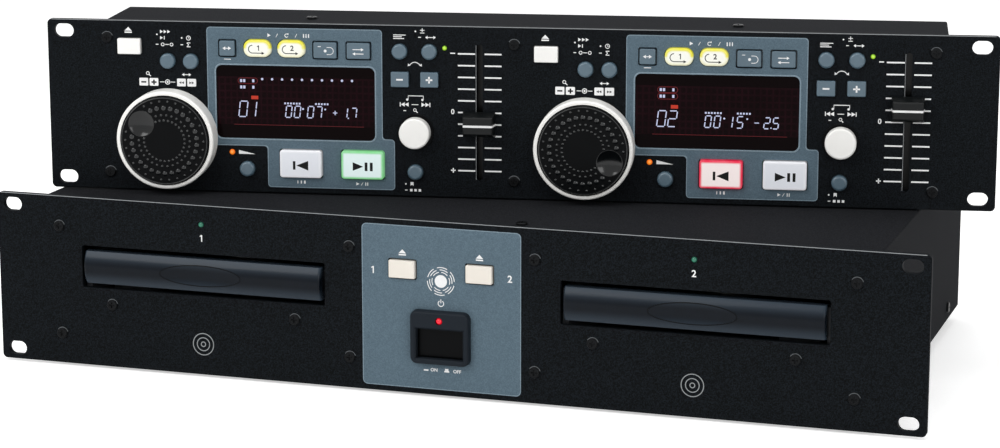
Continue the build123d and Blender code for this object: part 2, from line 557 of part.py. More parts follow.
def hub_and_puck(x):
    """The spindle hub that carries the disc, and the puck that clamps it from above."""
    neck_v = (PUCK_V[0] + PUCK_FOOT_T, PUCK_V[1] - PUCK_HEAD_T)
    with BuildPart() as hub:
        for bottom, top, radius in (
            (MOTOR_TOP_V + MOTOR_GAP, HUB_V[0], SPINDLE_R),
            (HUB_V[0], HUB_V[1], HUB_R),
            (HUB_V[1], PUCK_V[0] - PUCK_GAP, CONE_R),
            (PUCK_V[0], neck_v[0], PUCK_R),
            (neck_v[0], neck_v[1], PUCK_NECK_R),
            (neck_v[1], PUCK_V[1], PUCK_R),
        ):
            with BuildSketch(player_level(bottom)):
                with Locations((x, DISC_Y)):
                    Circle(radius)
            extrude(amount=top - bottom)
    return hub


def pickup_sled(x):
    """The laser sled with its lens, bored for its two guide rods."""
    with BuildPart() as sled:
        with BuildSketch(player_level(SLED_V[0])):
            with Locations((x, SLED_START_Y)):
                RectangleRounded(SLED_W, SLED_LENGTH, SLED_R)
        extrude(amount=SLED_V[1] - SLED_V[0])
        with BuildSketch(player_level(SLED_V[1])):
            with Locations((x, SLED_START_Y)):
                Circle(LENS_R)
        extrude(amount=LENS_H)
        with BuildSketch(Plane.XZ.offset(-SLED_START_Y)):
            with Locations(*[(x + side * ROD_OFFSET, ROD_V - PANEL_H / 2) for side in (-1, 1)]):
                Circle(ROD_R + BORE_GAP)
        extrude(amount=SLED_LENGTH, both=True, mode=Mode.SUBTRACT)
    return sled


def loader_frame(x, side):
    """The moulded frame that guides one tray and carries its motor and guide rods."""
    wall_x = LOADER_WALL_IN + LOADER_WALL_T / 2
    length = LOADER_REAR_Y - LOADER_FRONT_Y
    middle_y = (LOADER_REAR_Y + LOADER_FRONT_Y) / 2
    base_v = FLOOR_V + SHEET_T
    with BuildPart() as frame:
        with BuildSketch(player_level(base_v)):
            with Locations((x - wall_x, middle_y), (x + wall_x, middle_y)):
                Rectangle(LOADER_WALL_T, length)
        extrude(amount=LOADER_TOP_V - base_v)
        with BuildSketch(player_level(LOADER_DECK_V)):
            with Locations((x, middle_y)):
                Rectangle(2 * LOADER_WALL_IN, length)
            with Locations((x, SLED_START_Y + DECK_WINDOW_SHIFT)):
                Rectangle(DECK_WINDOW_W, DECK_WINDOW_L, mode=Mode.SUBTRACT)
        extrude(amount=LOADER_DECK_T)
        mouth_v = TRAY_OPENING_V[0] - LOADER_MOUTH_GAP
        with BuildSketch(player_face(PANEL_T)):
            with Locations((x, (base_v + mouth_v) / 2)):
                Rectangle(2 * (LOADER_WALL_IN + LOADER_WALL_T), mouth_v - base_v)
            for screw_u, screw_v in loader_screws:
                round_hole(screw_u, screw_v, SCREW_BORE_R)
        extrude(amount=-LOADER_FRONT_Y)
        # Ledges under and over the tray's edges.
        for v in (TRAY_V[0] - LEDGE_GAP - LEDGE_T, TRAY_V[1] + LEDGE_GAP):
            with BuildSketch(player_level(v)):
                for edge in (-1, 1):
                    with Locations((x + edge * (LOADER_WALL_IN - LEDGE_W / 2), middle_y)):
                        Rectangle(LEDGE_W, length)
            extrude(amount=LEDGE_T)
        # The clamp bridge over the disc's middle, with the puck's hole.
        with BuildSketch(player_level(LOADER_TOP_V - BRIDGE_T)):
            with Locations((x, DISC_Y)):
                Rectangle(2 * LOADER_WALL_IN, BRIDGE_W)
                Circle(PUCK_NECK_R + PUCK_NECK_GAP, mode=Mode.SUBTRACT)
        extrude(amount=BRIDGE_T)
        # Lugs that hold the guide rods' ends.
        with BuildSketch(player_level(LOADER_DECK_V + LOADER_DECK_T)):
            for y in (ROD_Y[0] - LUG_T / 2, ROD_Y[1] + LUG_T / 2):
                with Locations((x - ROD_OFFSET, y), (x + ROD_OFFSET, y)):
                    Rectangle(LUG_W, LUG_T)
        extrude(amount=ROD_V + LUG_RISE - LOADER_DECK_V - LOADER_DECK_T)
    with BuildPart() as rods:
        with BuildSketch(Plane.XZ.offset(-ROD_Y[1])):
            with Locations(*[(x + edge * ROD_OFFSET, ROD_V - PANEL_H / 2) for edge in (-1, 1)]):
                Circle(ROD_R)
        extrude(amount=ROD_Y[1] - ROD_Y[0])
    with BuildPart() as motor:
        with BuildSketch(player_level(LOADER_DECK_V + LOADER_DECK_T)):
            with Locations((x, DISC_Y)):
                Circle(MOTOR_R)
        extrude(amount=MOTOR_TOP_V - LOADER_DECK_V - LOADER_DECK_T)
    with BuildPart() as loading_motor:
        with BuildSketch(player_level(LOADER_DECK_V + LOADER_DECK_T)):
            with Locations((x + side * LOADING_MOTOR_X, LOADING_MOTOR_Y)):
                Rectangle(LOADING_MOTOR_W, LOADING_MOTOR_L)
        extrude(amount=LOADING_MOTOR_H)
    return [frame, rods, motor, loading_motor]


for number, x in ((1, -DECK_U), (2, DECK_U)):
    keep_together(tray_with_door(x), f"tray_{number}")
    keep(hub_and_puck(x), f"turntable_{number}")
    keep(pickup_sled(x), f"pickup_{number}")

keep_together(loader_frame(-DECK_U, -1) + loader_frame(DECK_U, 1), "loader_frames")

# ================================================================ player: electronics

with BuildPart() as player_front_board:
    with BuildSketch(player_face(BOARD_FRONT)):
        with Locations((0, FRONT_BOARD_V)):
            Rectangle(FRONT_BOARD_W, FRONT_BOARD_H)
        with Locations((0, LED_BOARD_V)):
            Rectangle(LED_BOARD_W, LED_BOARD_H)
    extrude(amount=-BOARD_T)
    # Spacers between the panel and the board, bored for the panel's screws.
    inner_screws = [(u, v) for u, v in PLAYER_CORNER_SCREWS if abs(u) < FRONT_BOARD_W / 2]
    with BuildSketch(player_face(PANEL_T)):
        with Locations(*inner_screws):
            Circle(SPACER_R)
            Circle(SCREW_BORE_R, mode=Mode.SUBTRACT)
    extrude(amount=PANEL_T - BOARD_FRONT)
    with BuildSketch(player_face(SWITCH_FRONT)):
        with Locations(*player_open_holes):
            Rectangle(SWITCH_SIZE, SWITCH_SIZE)
    extrude(amount=SWITCH_FRONT - BOARD_FRONT)
    with BuildSketch(player_face(LED_SUNK)):
        with Locations((-DECK_U, PLAYER_LED_V), (DECK_U, PLAYER_LED_V)):
            Circle(LED_R)
    extrude(amount=LED_SUNK - BOARD_FRONT)
    with BuildSketch(player_face(-POWER_LED_PROUD)):
        with Locations((0, POWER_LED_V)):
            Circle(POWER_LED_R)
    extrude(amount=-POWER_LED_PROUD - BOARD_FRONT)

with BuildPart() as power_switch:
    with BuildSketch(player_face(BOARD_FRONT + BOARD_T + BORE_GAP)):
        with Locations((0, POWER_V)):
            Rectangle(POWER_SWITCH_W, POWER_SWITCH_H)
    extrude(amount=-POWER_SWITCH_L)

floor_top_v = FLOOR_V + SHEET_T
with BuildPart() as main_board:
    with BuildSketch(player_level(MAIN_BOARD_V)):
        with Locations((0, MAIN_BOARD_Y)):
            Rectangle(MAIN_BOARD_W, MAIN_BOARD_L)
    extrude(amount=BOARD_T)
    with BuildSketch(player_level(floor_top_v)):
        with Locations((0, MAIN_BOARD_Y)):
            with GridLocations(MAIN_POST_PITCH_X, MAIN_POST_PITCH_Y, 2, 2):
                Circle(MAIN_POST_R)
    extrude(amount=MAIN_BOARD_V - floor_top_v)
    with BuildSketch(player_level(MAIN_BOARD_V + BOARD_T)):
        with Locations(*CHIPS_AT):
            Rectangle(CHIP_SIZE, CHIP_SIZE)
    extrude(amount=CHIP_H)
    with BuildSketch(player_level(MAIN_BOARD_V + BOARD_T)):
        with Locations(*CAPACITORS_AT):
            Circle(CAPACITOR_R)
    extrude(amount=CAPACITOR_H)

with BuildPart() as transformer:
    with BuildSketch(player_level(floor_top_v)):
        with Locations((0, TRANSFORMER_Y)):
            RectangleRounded(CORE_W, CORE_L, CORE_R)
    extrude(amount=CORE_H)
    with BuildSketch(player_level(floor_top_v + COIL_LIFT)):
        with Locations((0, TRANSFORMER_Y)):
            RectangleRounded(COIL_W, COIL_L, COIL_R)
    extrude(amount=COIL_H)

player_boards = [player_front_board, power_switch, main_board, transformer]
keep_together(player_boards, "player_circuit_boards")

# ================================================================ controller: case and panel

with BuildPart() as controller_front_panel:
    with BuildSketch(controller_face(PANEL_T)):
        rack_panel_outline()
        for u, v in PANEL_SCREWS:
            round_hole(u, v, SCREW_CLEAR_R)
        for deck in (1, 2):
            for u, v, width, height, corner, proud, gap in RECT_BUTTONS.values():
                rect_hole(deck_u(u, deck), v, width, height, corner, gap)
            for u, v in ROUND_BUTTONS.values():
                round_hole(deck_u(u, deck), v, ROUND_D / 2 + ROUND_GAP)
            rect_hole(deck_u(WINDOW_U, deck), WINDOW_V, WINDOW_W, WINDOW_H, WINDOW_R, 0)
            round_hole(deck_u(BRAKE_LED_U, deck), BRAKE_LED_V, BRAKE_LED_R + LED_GAP)
            round_hole(deck_u(KEY_LED_U, deck), KEY_LED_V, KEY_LED_R + LED_GAP)
            round_hole(deck_u(JOG_U, deck), JOG_V, SLEEVE_R + SHAFT_HOLE_GAP)
            round_hole(deck_u(KNOB_U, deck), KNOB_V, KNOB_SHAFT_R + SHAFT_HOLE_GAP)
            with Locations((deck_u(FADER_U, deck), sum(FADER_SLOT_V) / 2)):
                slot_length = FADER_SLOT_V[1] - FADER_SLOT_V[0]
                SlotOverall(slot_length, FADER_SLOT_W, rotation=90, mode=Mode.SUBTRACT)
    extrude(amount=PANEL_T)
    rim = controller_front_panel.faces().sort_by(outward(controller_face()))[-1].outer_wire()
    chamfer(rim.edges(), PANEL_EDGE)
keep(controller_front_panel, "controller_front_panel")

case_v = sum(CASE_V) / 2
case_h = CASE_V[1] - CASE_V[0]
with BuildPart() as controller_case:
    with BuildSketch(controller_face(PANEL_T)):
        with Locations((0, case_v)):
            Rectangle(2 * CASE_HALF_W, case_h)
    extrude(amount=PANEL_T - CASE_DEPTH)
    fillet(controller_case.edges().filter_by(outward(controller_face())), FOLD_R)
    with BuildSketch(controller_face(PANEL_T + SHEET_T)):
        with Locations((0, case_v)):
            Rectangle(2 * (CASE_HALF_W - SHEET_T), case_h - 2 * SHEET_T)
    extrude(amount=PANEL_T + 2 * SHEET_T - CASE_DEPTH, mode=Mode.SUBTRACT)
    # The front is open but for the side flanges and the middle tabs that the panel screws to.
    with BuildSketch(controller_face(PANEL_T)):
        with Locations((0, case_v)):
            Rectangle(2 * (CASE_HALF_W - CASE_FLANGE_W), case_h - 2 * SHEET_T)
            for edge in (-1, 1):
                with Locations((0, edge * (case_h - 2 * SHEET_T) / 2)):
                    Rectangle(CASE_TAB_W, 2 * CASE_TAB_H, mode=Mode.SUBTRACT)
        with Locations(*PANEL_SCREWS):
            Circle(SCREW_BORE_R)
    extrude(amount=-SHEET_T, mode=Mode.SUBTRACT)
    with BuildSketch(controller_level(CASE_V[1])):
        with Locations(*CASE_TOP_SCREWS):
            Circle(SCREW_CLEAR_R)
    extrude(amount=-SHEET_T, mode=Mode.SUBTRACT)
    with BuildSketch(controller_face(CASE_DEPTH)):
        with Locations((CTL_SOCKET_U, CTL_SOCKET_V)):
            Circle(CTL_SOCKET_R + CUTOUT_GAP)
    extrude(amount=SHEET_T, mode=Mode.SUBTRACT)
keep(controller_case, "controller_case")

controller_foot_h = CASE_V[0] + CTL_Z - (COVER_TOP_V - PANEL_H / 2)
controller_feet = [(side * CTL_FOOT_X, y) for side in (-1, 1) for y in CTL_FOOT_Y]
controller_fixings = [
    screws(controller_face(), PANEL_SCREWS, CASE_SCREW_LENGTH),
    screws(controller_level(CASE_V[1]), CASE_TOP_SCREWS, TOP_SCREW_LENGTH),
    feet(controller_level(CASE_V[0]), controller_feet, CTL_FOOT_R, controller_foot_h, CTL_FOOT_EDGE),
]
keep_together(controller_fixings, "controller_fixings")

with BuildPart() as display_windows:
    with BuildSketch(controller_face(WINDOW_DEPTH)):
        for deck in (1, 2):
            with Locations((deck_u(WINDOW_U, deck), WINDOW_V)):
                RectangleRounded(
                    WINDOW_W - 2 * WINDOW_GAP, WINDOW_H - 2 * WINDOW_GAP, WINDOW_R - WINDOW_GAP
                )
    extrude(amount=-WINDOW_T)
keep(display_windows, "display_windows")

# The board behind the panel, with a switch behind each button and an encoder behind each wheel.
with BuildPart() as controller_circuit_board:
    with BuildSketch(controller_face(BOARD_FRONT)):
        with Locations((0, PANEL_H / 2)):
            Rectangle(CTL_BOARD_W, CTL_BOARD_H)
    extrude(amount=-BOARD_T)
    with BuildSketch(controller_face(SWITCH_FRONT)):
        for deck in (1, 2):
            for u, v, width, height, corner, proud, gap in RECT_BUTTONS.values():
                with Locations((deck_u(u, deck), v)):
                    Rectangle(SWITCH_SIZE, SWITCH_SIZE)
            for u, v in ROUND_BUTTONS.values():
                with Locations((deck_u(u, deck), v)):
                    Rectangle(SWITCH_SIZE, SWITCH_SIZE)
    extrude(amount=SWITCH_FRONT - BOARD_FRONT)
    with BuildSketch(controller_face(PANEL_T)):
        for deck in (1, 2):
            for u, v in POST_UV:
                with Locations((deck_u(u, deck), v)):
                    Circle(POST_R)
    extrude(amount=PANEL_T - BOARD_FRONT)
    for led_u, led_v, led_r in (
        (BRAKE_LED_U, BRAKE_LED_V, BRAKE_LED_R),
        (KEY_LED_U, KEY_LED_V, KEY_LED_R),
    ):
        with BuildSketch(controller_face(LED_SUNK)):
            with Locations((deck_u(led_u, 1), led_v), (deck_u(led_u, 2), led_v)):
                Circle(led_r)
        extrude(amount=LED_SUNK - BOARD_FRONT)
    # Display modules behind the windows.
    module_front = WINDOW_DEPTH + WINDOW_T + MODULE_GAP
    with BuildSketch(controller_face(module_front)):
        for deck in (1, 2):
            with Locations((deck_u(WINDOW_U, deck), WINDOW_V)):
                Rectangle(WINDOW_W + 2 * MODULE_RIM, WINDOW_H + 2 * MODULE_RIM)
    extrude(amount=module_front - BOARD_FRONT)
    # Encoder bodies; the wheels' shafts turn in their blind bores.
    for centre_u, centre_v, body_r, shaft_r, front, shaft_end in (
        (JOG_U, JOG_V, ENCODER_R, JOG_SHAFT_R, ENCODER_FRONT, JOG_SHAFT_END),
        (KNOB_U, KNOB_V, KNOB_ENCODER_R, KNOB_SHAFT_R, KNOB_ENCODER_FRONT, KNOB_SHAFT_END),
    ):
        places = [(deck_u(centre_u, deck), centre_v) for deck in (1, 2)]
        with BuildSketch(controller_face(front)):
            with Locations(*places):
                Circle(body_r)
        extrude(amount=front - ENCODER_REAR)
        with BuildSketch(controller_face(front)):
            with Locations(*places):
                Circle(shaft_r + BORE_GAP)
        extrude(amount=front - shaft_end - SHAFT_END_GAP, mode=Mode.SUBTRACT)
    # Fader tracks, grooved for the faders' stems.
    for width, overlap, track_back, mode in (
        (TRACK_W, TRACK_END, BOARD_FRONT, Mode.ADD),
        (TRACK_GROOVE_W, 0.0, STEM_END + SHAFT_END_GAP, Mode.SUBTRACT),
    ):
        with BuildSketch(controller_face(TRACK_FRONT)):
            for deck in (1, 2):
                with Locations((deck_u(FADER_U, deck), sum(FADER_SLOT_V) / 2)):
                    Rectangle(width, FADER_SLOT_V[1] - FADER_SLOT_V[0] + 2 * overlap)
        extrude(amount=TRACK_FRONT - track_back, mode=mode)
    # The socket for the lead to the player, reached through the case's rear wall.
    with BuildSketch(controller_face(CASE_DEPTH + SOCKET_OUT)):
        with Locations((CTL_SOCKET_U, CTL_SOCKET_V)):
            Circle(CTL_SOCKET_R)
            Circle(CTL_SOCKET_R - SOCKET_WALL, mode=Mode.SUBTRACT)
    extrude(amount=CTL_SOCKET_LENGTH)
    with BuildSketch(controller_face(CASE_DEPTH - SHEET_T)):
        with Locations((CTL_SOCKET_U, CTL_SOCKET_V)):
            Rectangle(ROUND_BLOCK, ROUND_BLOCK)
    extrude(amount=CTL_BLOCK_DEPTH)
keep(controller_circuit_board, "controller_circuit_board")

# ================================================================ controller: the controls of each deck


def scan_ring(face, u, v):
    """The white ring around the jog wheel, with a floor and a sleeve through the panel."""
    with BuildPart() as ring:
        with BuildSketch(face.offset(RING_BACK)):
            with Locations((u, v)):
                Circle(RING_R)
        extrude(amount=RING_PROUD - RING_BACK)
        fillet(ring.faces().sort_by(outward(face))[-1].edges(), RING_EDGE)
        with BuildSketch(face.offset(RING_FLOOR)):
            with Locations((u, v)):
                Circle(RING_BORE_R)
        extrude(amount=RING_PROUD, mode=Mode.SUBTRACT)
        with BuildSketch(face.offset(RING_BACK)):
            with Locations((u, v)):
                Circle(SLEEVE_R)
        extrude(amount=-RING_BACK - SLEEVE_END)
        with BuildSketch(face.offset(RING_FLOOR)):
            with Locations((u, v)):
                Circle(SLEEVE_BORE_R)
        extrude(amount=-RING_FLOOR - SLEEVE_END, mode=Mode.SUBTRACT)
    return ring


def jog_wheel(face, u, v, dimple_turn):
    """The disc that turns freely inside the ring, with its shaft and its finger dimple."""
    dimple_sphere_r = (DIMPLE_R**2 + DIMPLE_DEPTH**2) / (2 * DIMPLE_DEPTH)
    dimple_u = u + DIMPLE_DISTANCE * cos(radians(dimple_turn))
    dimple_v = v + DIMPLE_DISTANCE * sin(radians(dimple_turn))
    with BuildPart() as jog:
        with BuildSketch(face.offset(JOG_BACK)):
            with Locations((u, v)):
                Circle(JOG_R)
        extrude(amount=JOG_PROUD - JOG_BACK)
        fillet(jog.faces().sort_by(outward(face))[-1].edges(), JOG_EDGE)
        with BuildSketch(face.offset(JOG_BACK)):
            with Locations((u, v)):
                Circle(JOG_SHAFT_R)
        extrude(amount=-JOG_BACK - JOG_SHAFT_END)
        sphere_out = JOG_PROUD - DIMPLE_DEPTH + dimple_sphere_r
        with Locations(face.from_local_coords((dimple_u, dimple_v, sphere_out))):
            Sphere(dimple_sphere_r, mode=Mode.SUBTRACT)
    return jog


def track_knob(face, u, v):
    """A plain round knob on its shaft."""
    with BuildPart() as knob:
        with BuildSketch(face.offset(KNOB_BACK)):
            with Locations((u, v)):
                Circle(KNOB_R)
        extrude(amount=KNOB_PROUD - KNOB_BACK)
        fillet(knob.faces().sort_by(outward(face))[-1].edges(), KNOB_EDGE)
        with BuildSketch(face.offset(KNOB_BACK)):
            with Locations((u, v)):
                Circle(KNOB_SHAFT_R)
        extrude(amount=-KNOB_BACK - KNOB_SHAFT_END)
    return knob


def pitch_fader(face, u, v):
    """A cap that tapers on all four sides, on a flat stem that slides in the panel's slot."""
    with BuildPart() as fader:
        with BuildSketch(face.offset(CAP_BACK)):
            with Locations((u, v)):
                Rectangle(CAP_W, CAP_H)
        extrude(amount=CAP_FOOT)
        with BuildSketch(face.offset(CAP_BACK + CAP_FOOT)):
            with Locations((u, v)):
                Rectangle(CAP_W, CAP_H)
        with BuildSketch(face.offset(CAP_PROUD)):
            with Locations((u, v)):
                Rectangle(CAP_TOP_W, CAP_TOP_H)
        loft()
        chamfer(fader.faces().sort_by(outward(face))[-1].edges(), CAP_EDGE)
        with BuildSketch(face.offset(CAP_BACK)):
            with Locations((u, v)):
                Rectangle(STEM_W, STEM_H)
        extrude(amount=-CAP_BACK - STEM_END)
    return fader


for deck in (1, 2):
    panel_face = controller_face()
    for name, (u, v, width, height, corner, proud, gap) in RECT_BUTTONS.items():
        button = rect_button(panel_face, deck_u(u, deck), v, width, height, corner, proud)
        keep(button, f"{name}_{deck}")
    for name, (u, v) in ROUND_BUTTONS.items():
        keep(round_button(panel_face, deck_u(u, deck), v), f"{name}_{deck}")
    jog_centre_u = deck_u(JOG_U, deck)
    keep(scan_ring(panel_face, jog_centre_u, JOG_V), f"scan_ring_{deck}")
    keep(jog_wheel(panel_face, jog_centre_u, JOG_V, DIMPLE_TURN[deck]), f"jog_wheel_{deck}")
    keep(track_knob(panel_face, deck_u(KNOB_U, deck), KNOB_V), f"track_knob_{deck}")
    keep(pitch_fader(panel_face, deck_u(FADER_U, deck), FADER_AT[deck]), f"pitch_fader_{deck}")
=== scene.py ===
"""Dual CD player for a DJ: the finishes, lamps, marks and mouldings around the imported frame.

Both units are worked on in their own millimetres: u to the right of the front panel's middle, v up
from its lower edge, and w out of its front face. Two matrices take these to the frame's metres.
"""

import json
from math import cos, pi, radians, sin, tau

import bmesh
import bpy
from mathutils import Euler, Matrix, Vector


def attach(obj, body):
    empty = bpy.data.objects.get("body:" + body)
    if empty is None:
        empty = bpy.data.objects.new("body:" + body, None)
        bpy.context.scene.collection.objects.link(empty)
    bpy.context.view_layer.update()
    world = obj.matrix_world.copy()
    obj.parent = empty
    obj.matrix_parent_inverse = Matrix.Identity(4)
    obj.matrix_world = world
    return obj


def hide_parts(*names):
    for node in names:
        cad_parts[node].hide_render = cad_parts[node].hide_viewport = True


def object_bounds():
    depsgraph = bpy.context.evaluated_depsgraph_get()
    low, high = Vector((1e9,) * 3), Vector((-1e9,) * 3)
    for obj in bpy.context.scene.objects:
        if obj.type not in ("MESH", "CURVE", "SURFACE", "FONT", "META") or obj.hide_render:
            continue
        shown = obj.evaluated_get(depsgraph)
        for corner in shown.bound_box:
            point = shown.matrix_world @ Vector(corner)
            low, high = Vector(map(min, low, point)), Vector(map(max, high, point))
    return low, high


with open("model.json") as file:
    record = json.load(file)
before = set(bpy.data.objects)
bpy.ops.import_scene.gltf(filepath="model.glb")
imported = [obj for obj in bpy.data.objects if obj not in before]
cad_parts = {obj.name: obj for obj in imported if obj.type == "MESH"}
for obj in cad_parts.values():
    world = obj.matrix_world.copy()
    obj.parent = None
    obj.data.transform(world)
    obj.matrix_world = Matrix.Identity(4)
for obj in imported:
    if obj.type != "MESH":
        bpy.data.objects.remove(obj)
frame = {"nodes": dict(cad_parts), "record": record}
cad_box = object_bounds()

MM = 0.001
PANEL_T, PANEL_H = 3.0, 88.0
DECK_PITCH = 214.5
SHARP_ANGLE = radians(35)
LOOSE = 0.0005  # points of a mesh nearer than this, in millimetres, are one point
INK_T = 0.05
CURVE_STEPS = 5
ROUND_HANDLE = 0.4477  # how far a Bezier handle stops short of the corner, as a share of the radius
CAPITAL_SHARE = 0.73  # of the lettering's size
LETTER_WEIGHT = 0.03  # how far a letter's outline is set outwards, as a share of its height

# The solids' own sizes that a finish or a piece here follows.
TRAY_U = 127.7  # a tray's middle, on either side of the panel's
DOOR_V, DOOR_HALF_H, DOOR_R = 51.85, 8.35, 13.85  # a tray door's middle, half height and curve
PLAYER_BOARD_DEPTHS = (9.7, 236.0)  # in front of these and behind them the node is sockets and caps
CONTROLLER_BOARD_DEPTHS = (9.7, 13.0)
PLAYER_REAR, CONTROLLER_REAR = 239.4, 69.5  # how far behind the front face each rear wall stands


def unit_matrix(mount_name):
    """Takes a unit's own millimetres to the frame's metres."""
    mount = next(m for m in frame["record"]["mounts"] if m["name"] == mount_name)
    rear = Vector(mount["axis"]).normalized()
    up = Vector((0, 0, 1))
    right = rear.cross(up)
    origin = Vector(mount["pos_m"]) - (rear * PANEL_T + up * PANEL_H / 2) * MM
    turn = Matrix((right, up, -rear)).transposed() * MM
    return Matrix.Translation(origin) @ turn.to_4x4()


PLAYER = unit_matrix("player_rack_slots")
CONTROLLER = unit_matrix("controller_rack_slots")


def deck_u(u, deck):
    """The same place on deck 1 or deck 2 of the controller."""
    return u + (deck - 1) * DECK_PITCH


def node_box(name, unit):
    """A frame node's lowest and highest (u, v, w), in its unit's own millimetres."""
    inverse = unit.inverted()
    places = [inverse @ vertex.co for vertex in frame["nodes"][name].data.vertices]
    return tuple(Vector([pick(p[axis] for p in places) for axis in range(3)]) for pick in (min, max))


# ================================================================ materials


def srgb(code):
    """An sRGB hex value as the linear colour that a shader takes."""
    channels = [int(code[i : i + 2], 16) / 255 for i in (1, 3, 5)]
    linear = [c / 12.92 if c <= 0.04045 else ((c + 0.055) / 1.055) ** 2.4 for c in channels]
    return (*linear, 1.0)


def node(tree, kind, inputs=None, **settings):
    """Adds one node with its settings. An input takes a value or another node's output."""
    made = tree.nodes.new(kind)
    for name, value in settings.items():
        setattr(made, name, value)
    for socket, value in (inputs or {}).items():
        if isinstance(value, bpy.types.NodeSocket):
            tree.links.new(value, made.inputs[socket])
        else:
            made.inputs[socket].default_value = value
    return made


def material(name, **sockets):
    """A material of that name, with its tree, its shader and the place of each point in metres."""
    finish = bpy.data.materials.new(name)
    finish.use_nodes = True
    tree = finish.node_tree
    shader = tree.nodes["Principled BSDF"]
    for socket, value in sockets.items():
        shader.inputs[socket.replace("_", " ")].default_value = value
    where = node(tree, "ShaderNodeTexCoord").outputs["Object"]
    return finish, tree, shader, where


def parts_of(finish):
    """The tree, shader and place of a material that is made already, to add to it."""
    tree = finish.node_tree
    place = next(item for item in tree.nodes if item.type == "TEX_COORD")
    return tree, tree.nodes["Principled BSDF"], place.outputs["Object"]


def unit_place(tree, where, unit):
    """A unit's own u, depth and v of each point in millimetres, as X, Y and Z."""
    local = node(
        tree,
        "ShaderNodeMapping",
        {
            "Vector": where,
            "Location": unit.translation,
            "Rotation": (0, 0, unit.to_euler().z),
            "Scale": (MM, MM, MM),
        },
        vector_type="TEXTURE",
    )
    return node(tree, "ShaderNodeSeparateXYZ", {0: local.outputs[0]}).outputs


def textured_paint(name, dark, light, grain=0.55, relief=0.04, roughness=0.6, gloss=0.05):
    """Baked enamel with a fine texture on steel: it breaks the light into small soft specks."""
    finish, tree, shader, where = material(name, Roughness=roughness, Specular_IOR_Level=gloss)
    speck = node(
        tree, "ShaderNodeTexNoise", {"Vector": where, "Scale": 1 / (grain * MM), "Detail": 4.0}
    )
    spread = node(
        tree,
        "ShaderNodeMapRange",
        {"Value": speck.outputs["Fac"], "From Min": 0.35, "From Max": 0.68},
        interpolation_type="SMOOTHSTEP",
    )
    tint = node(
        tree,
        "ShaderNodeMix",
        {0: spread.outputs[0], 6: srgb(dark), 7: srgb(light)},
        data_type="RGBA",
    )
    bump = node(
        tree,
        "ShaderNodeBump",
        {"Height": speck.outputs["Fac"], "Strength": 0.6, "Distance": relief * MM},
    )
    tree.links.new(tint.outputs[2], shader.inputs["Base Color"])
    tree.links.new(bump.outputs["Normal"], shader.inputs["Normal"])
    return finish


def moulded_abs(name, colour, shade, roughness=0.42, grain=0.5, relief=0.02, gloss=0.4):
    """Injection-moulded ABS from a spark-eroded tool: an even fine grain and a faint drift of colour."""
    finish, tree, shader, where = material(name, Roughness=roughness, Specular_IOR_Level=gloss)
    drift = node(tree, "ShaderNodeTexNoise", {"Vector": where, "Scale": 1 / (7 * MM), "Detail": 4.0})
    tint = node(
        tree,
        "ShaderNodeMix",
        {0: drift.outputs["Fac"], 6: srgb(colour), 7: srgb(shade)},
        data_type="RGBA",
    )
    pits = node(tree, "ShaderNodeTexNoise", {"Vector": where, "Scale": 1 / (grain * MM), "Detail": 2.0})
    bump = node(
        tree, "ShaderNodeBump", {"Height": pits.outputs["Fac"], "Strength": 0.4, "Distance": relief * MM}
    )
    tree.links.new(tint.outputs[2], shader.inputs["Base Color"])
    tree.links.new(bump.outputs["Normal"], shader.inputs["Normal"])
    return finish


BEZEL_FROM_W = 0.15  # what stands further out of the panel than this is the bezel


def front_panel_paint():
    """Black textured enamel, and dark blue-grey moulded ABS where the power bezel stands proud."""
    finish = textured_paint("textured_black_enamel", "#050607", "#181C20")
    tree, shader, where = parts_of(finish)
    painted = shader.inputs["Base Color"].links[0].from_socket
    place = node(tree, "ShaderNodeSeparateXYZ", {0: where})
    front_y = (PLAYER @ Vector((0, 0, BEZEL_FROM_W))).y
    proud = node(tree, "ShaderNodeMath", {0: place.outputs["Y"], 1: front_y}, operation="LESS_THAN")
    tint = node(
        tree,
        "ShaderNodeMix",
        {0: proud.outputs[0], 6: painted, 7: srgb("#20252B")},
        data_type="RGBA",
    )
    dulled = node(
        tree, "ShaderNodeMapRange", {"Value": proud.outputs[0], "To Min": 0.6, "To Max": 0.33}
    )
    tree.links.new(tint.outputs[2], shader.inputs["Base Color"])
    tree.links.new(dulled.outputs[0], shader.inputs["Roughness"])
    return finish


def screw_steel():
    """Black-oxide steel screws, rubbed bright in streaks."""
    finish, tree, shader, where = material("black_oxide_steel", Metallic=0.85)
    wear = node(tree, "ShaderNodeTexNoise", {"Vector": where, "Scale": 1 / (0.8 * MM), "Detail": 3.0})
    tint = node(
        tree,
        "ShaderNodeMix",
        {0: wear.outputs["Fac"], 6: srgb("#060607"), 7: srgb("#17191B")},
        data_type="RGBA",
    )
    dulled = node(
        tree, "ShaderNodeMapRange", {"Value": wear.outputs["Fac"], "To Min": 0.28, "To Max": 0.5}
    )
    tree.links.new(tint.outputs[2], shader.inputs["Base Color"])
    tree.links.new(dulled.outputs[0], shader.inputs["Roughness"])
    return finish


CELL_PITCH = {"X": 1.55, "Z": 1.75}  # of the display's unlit cells
CELLS_V = (35.2, 60.0)  # from where to where they reach


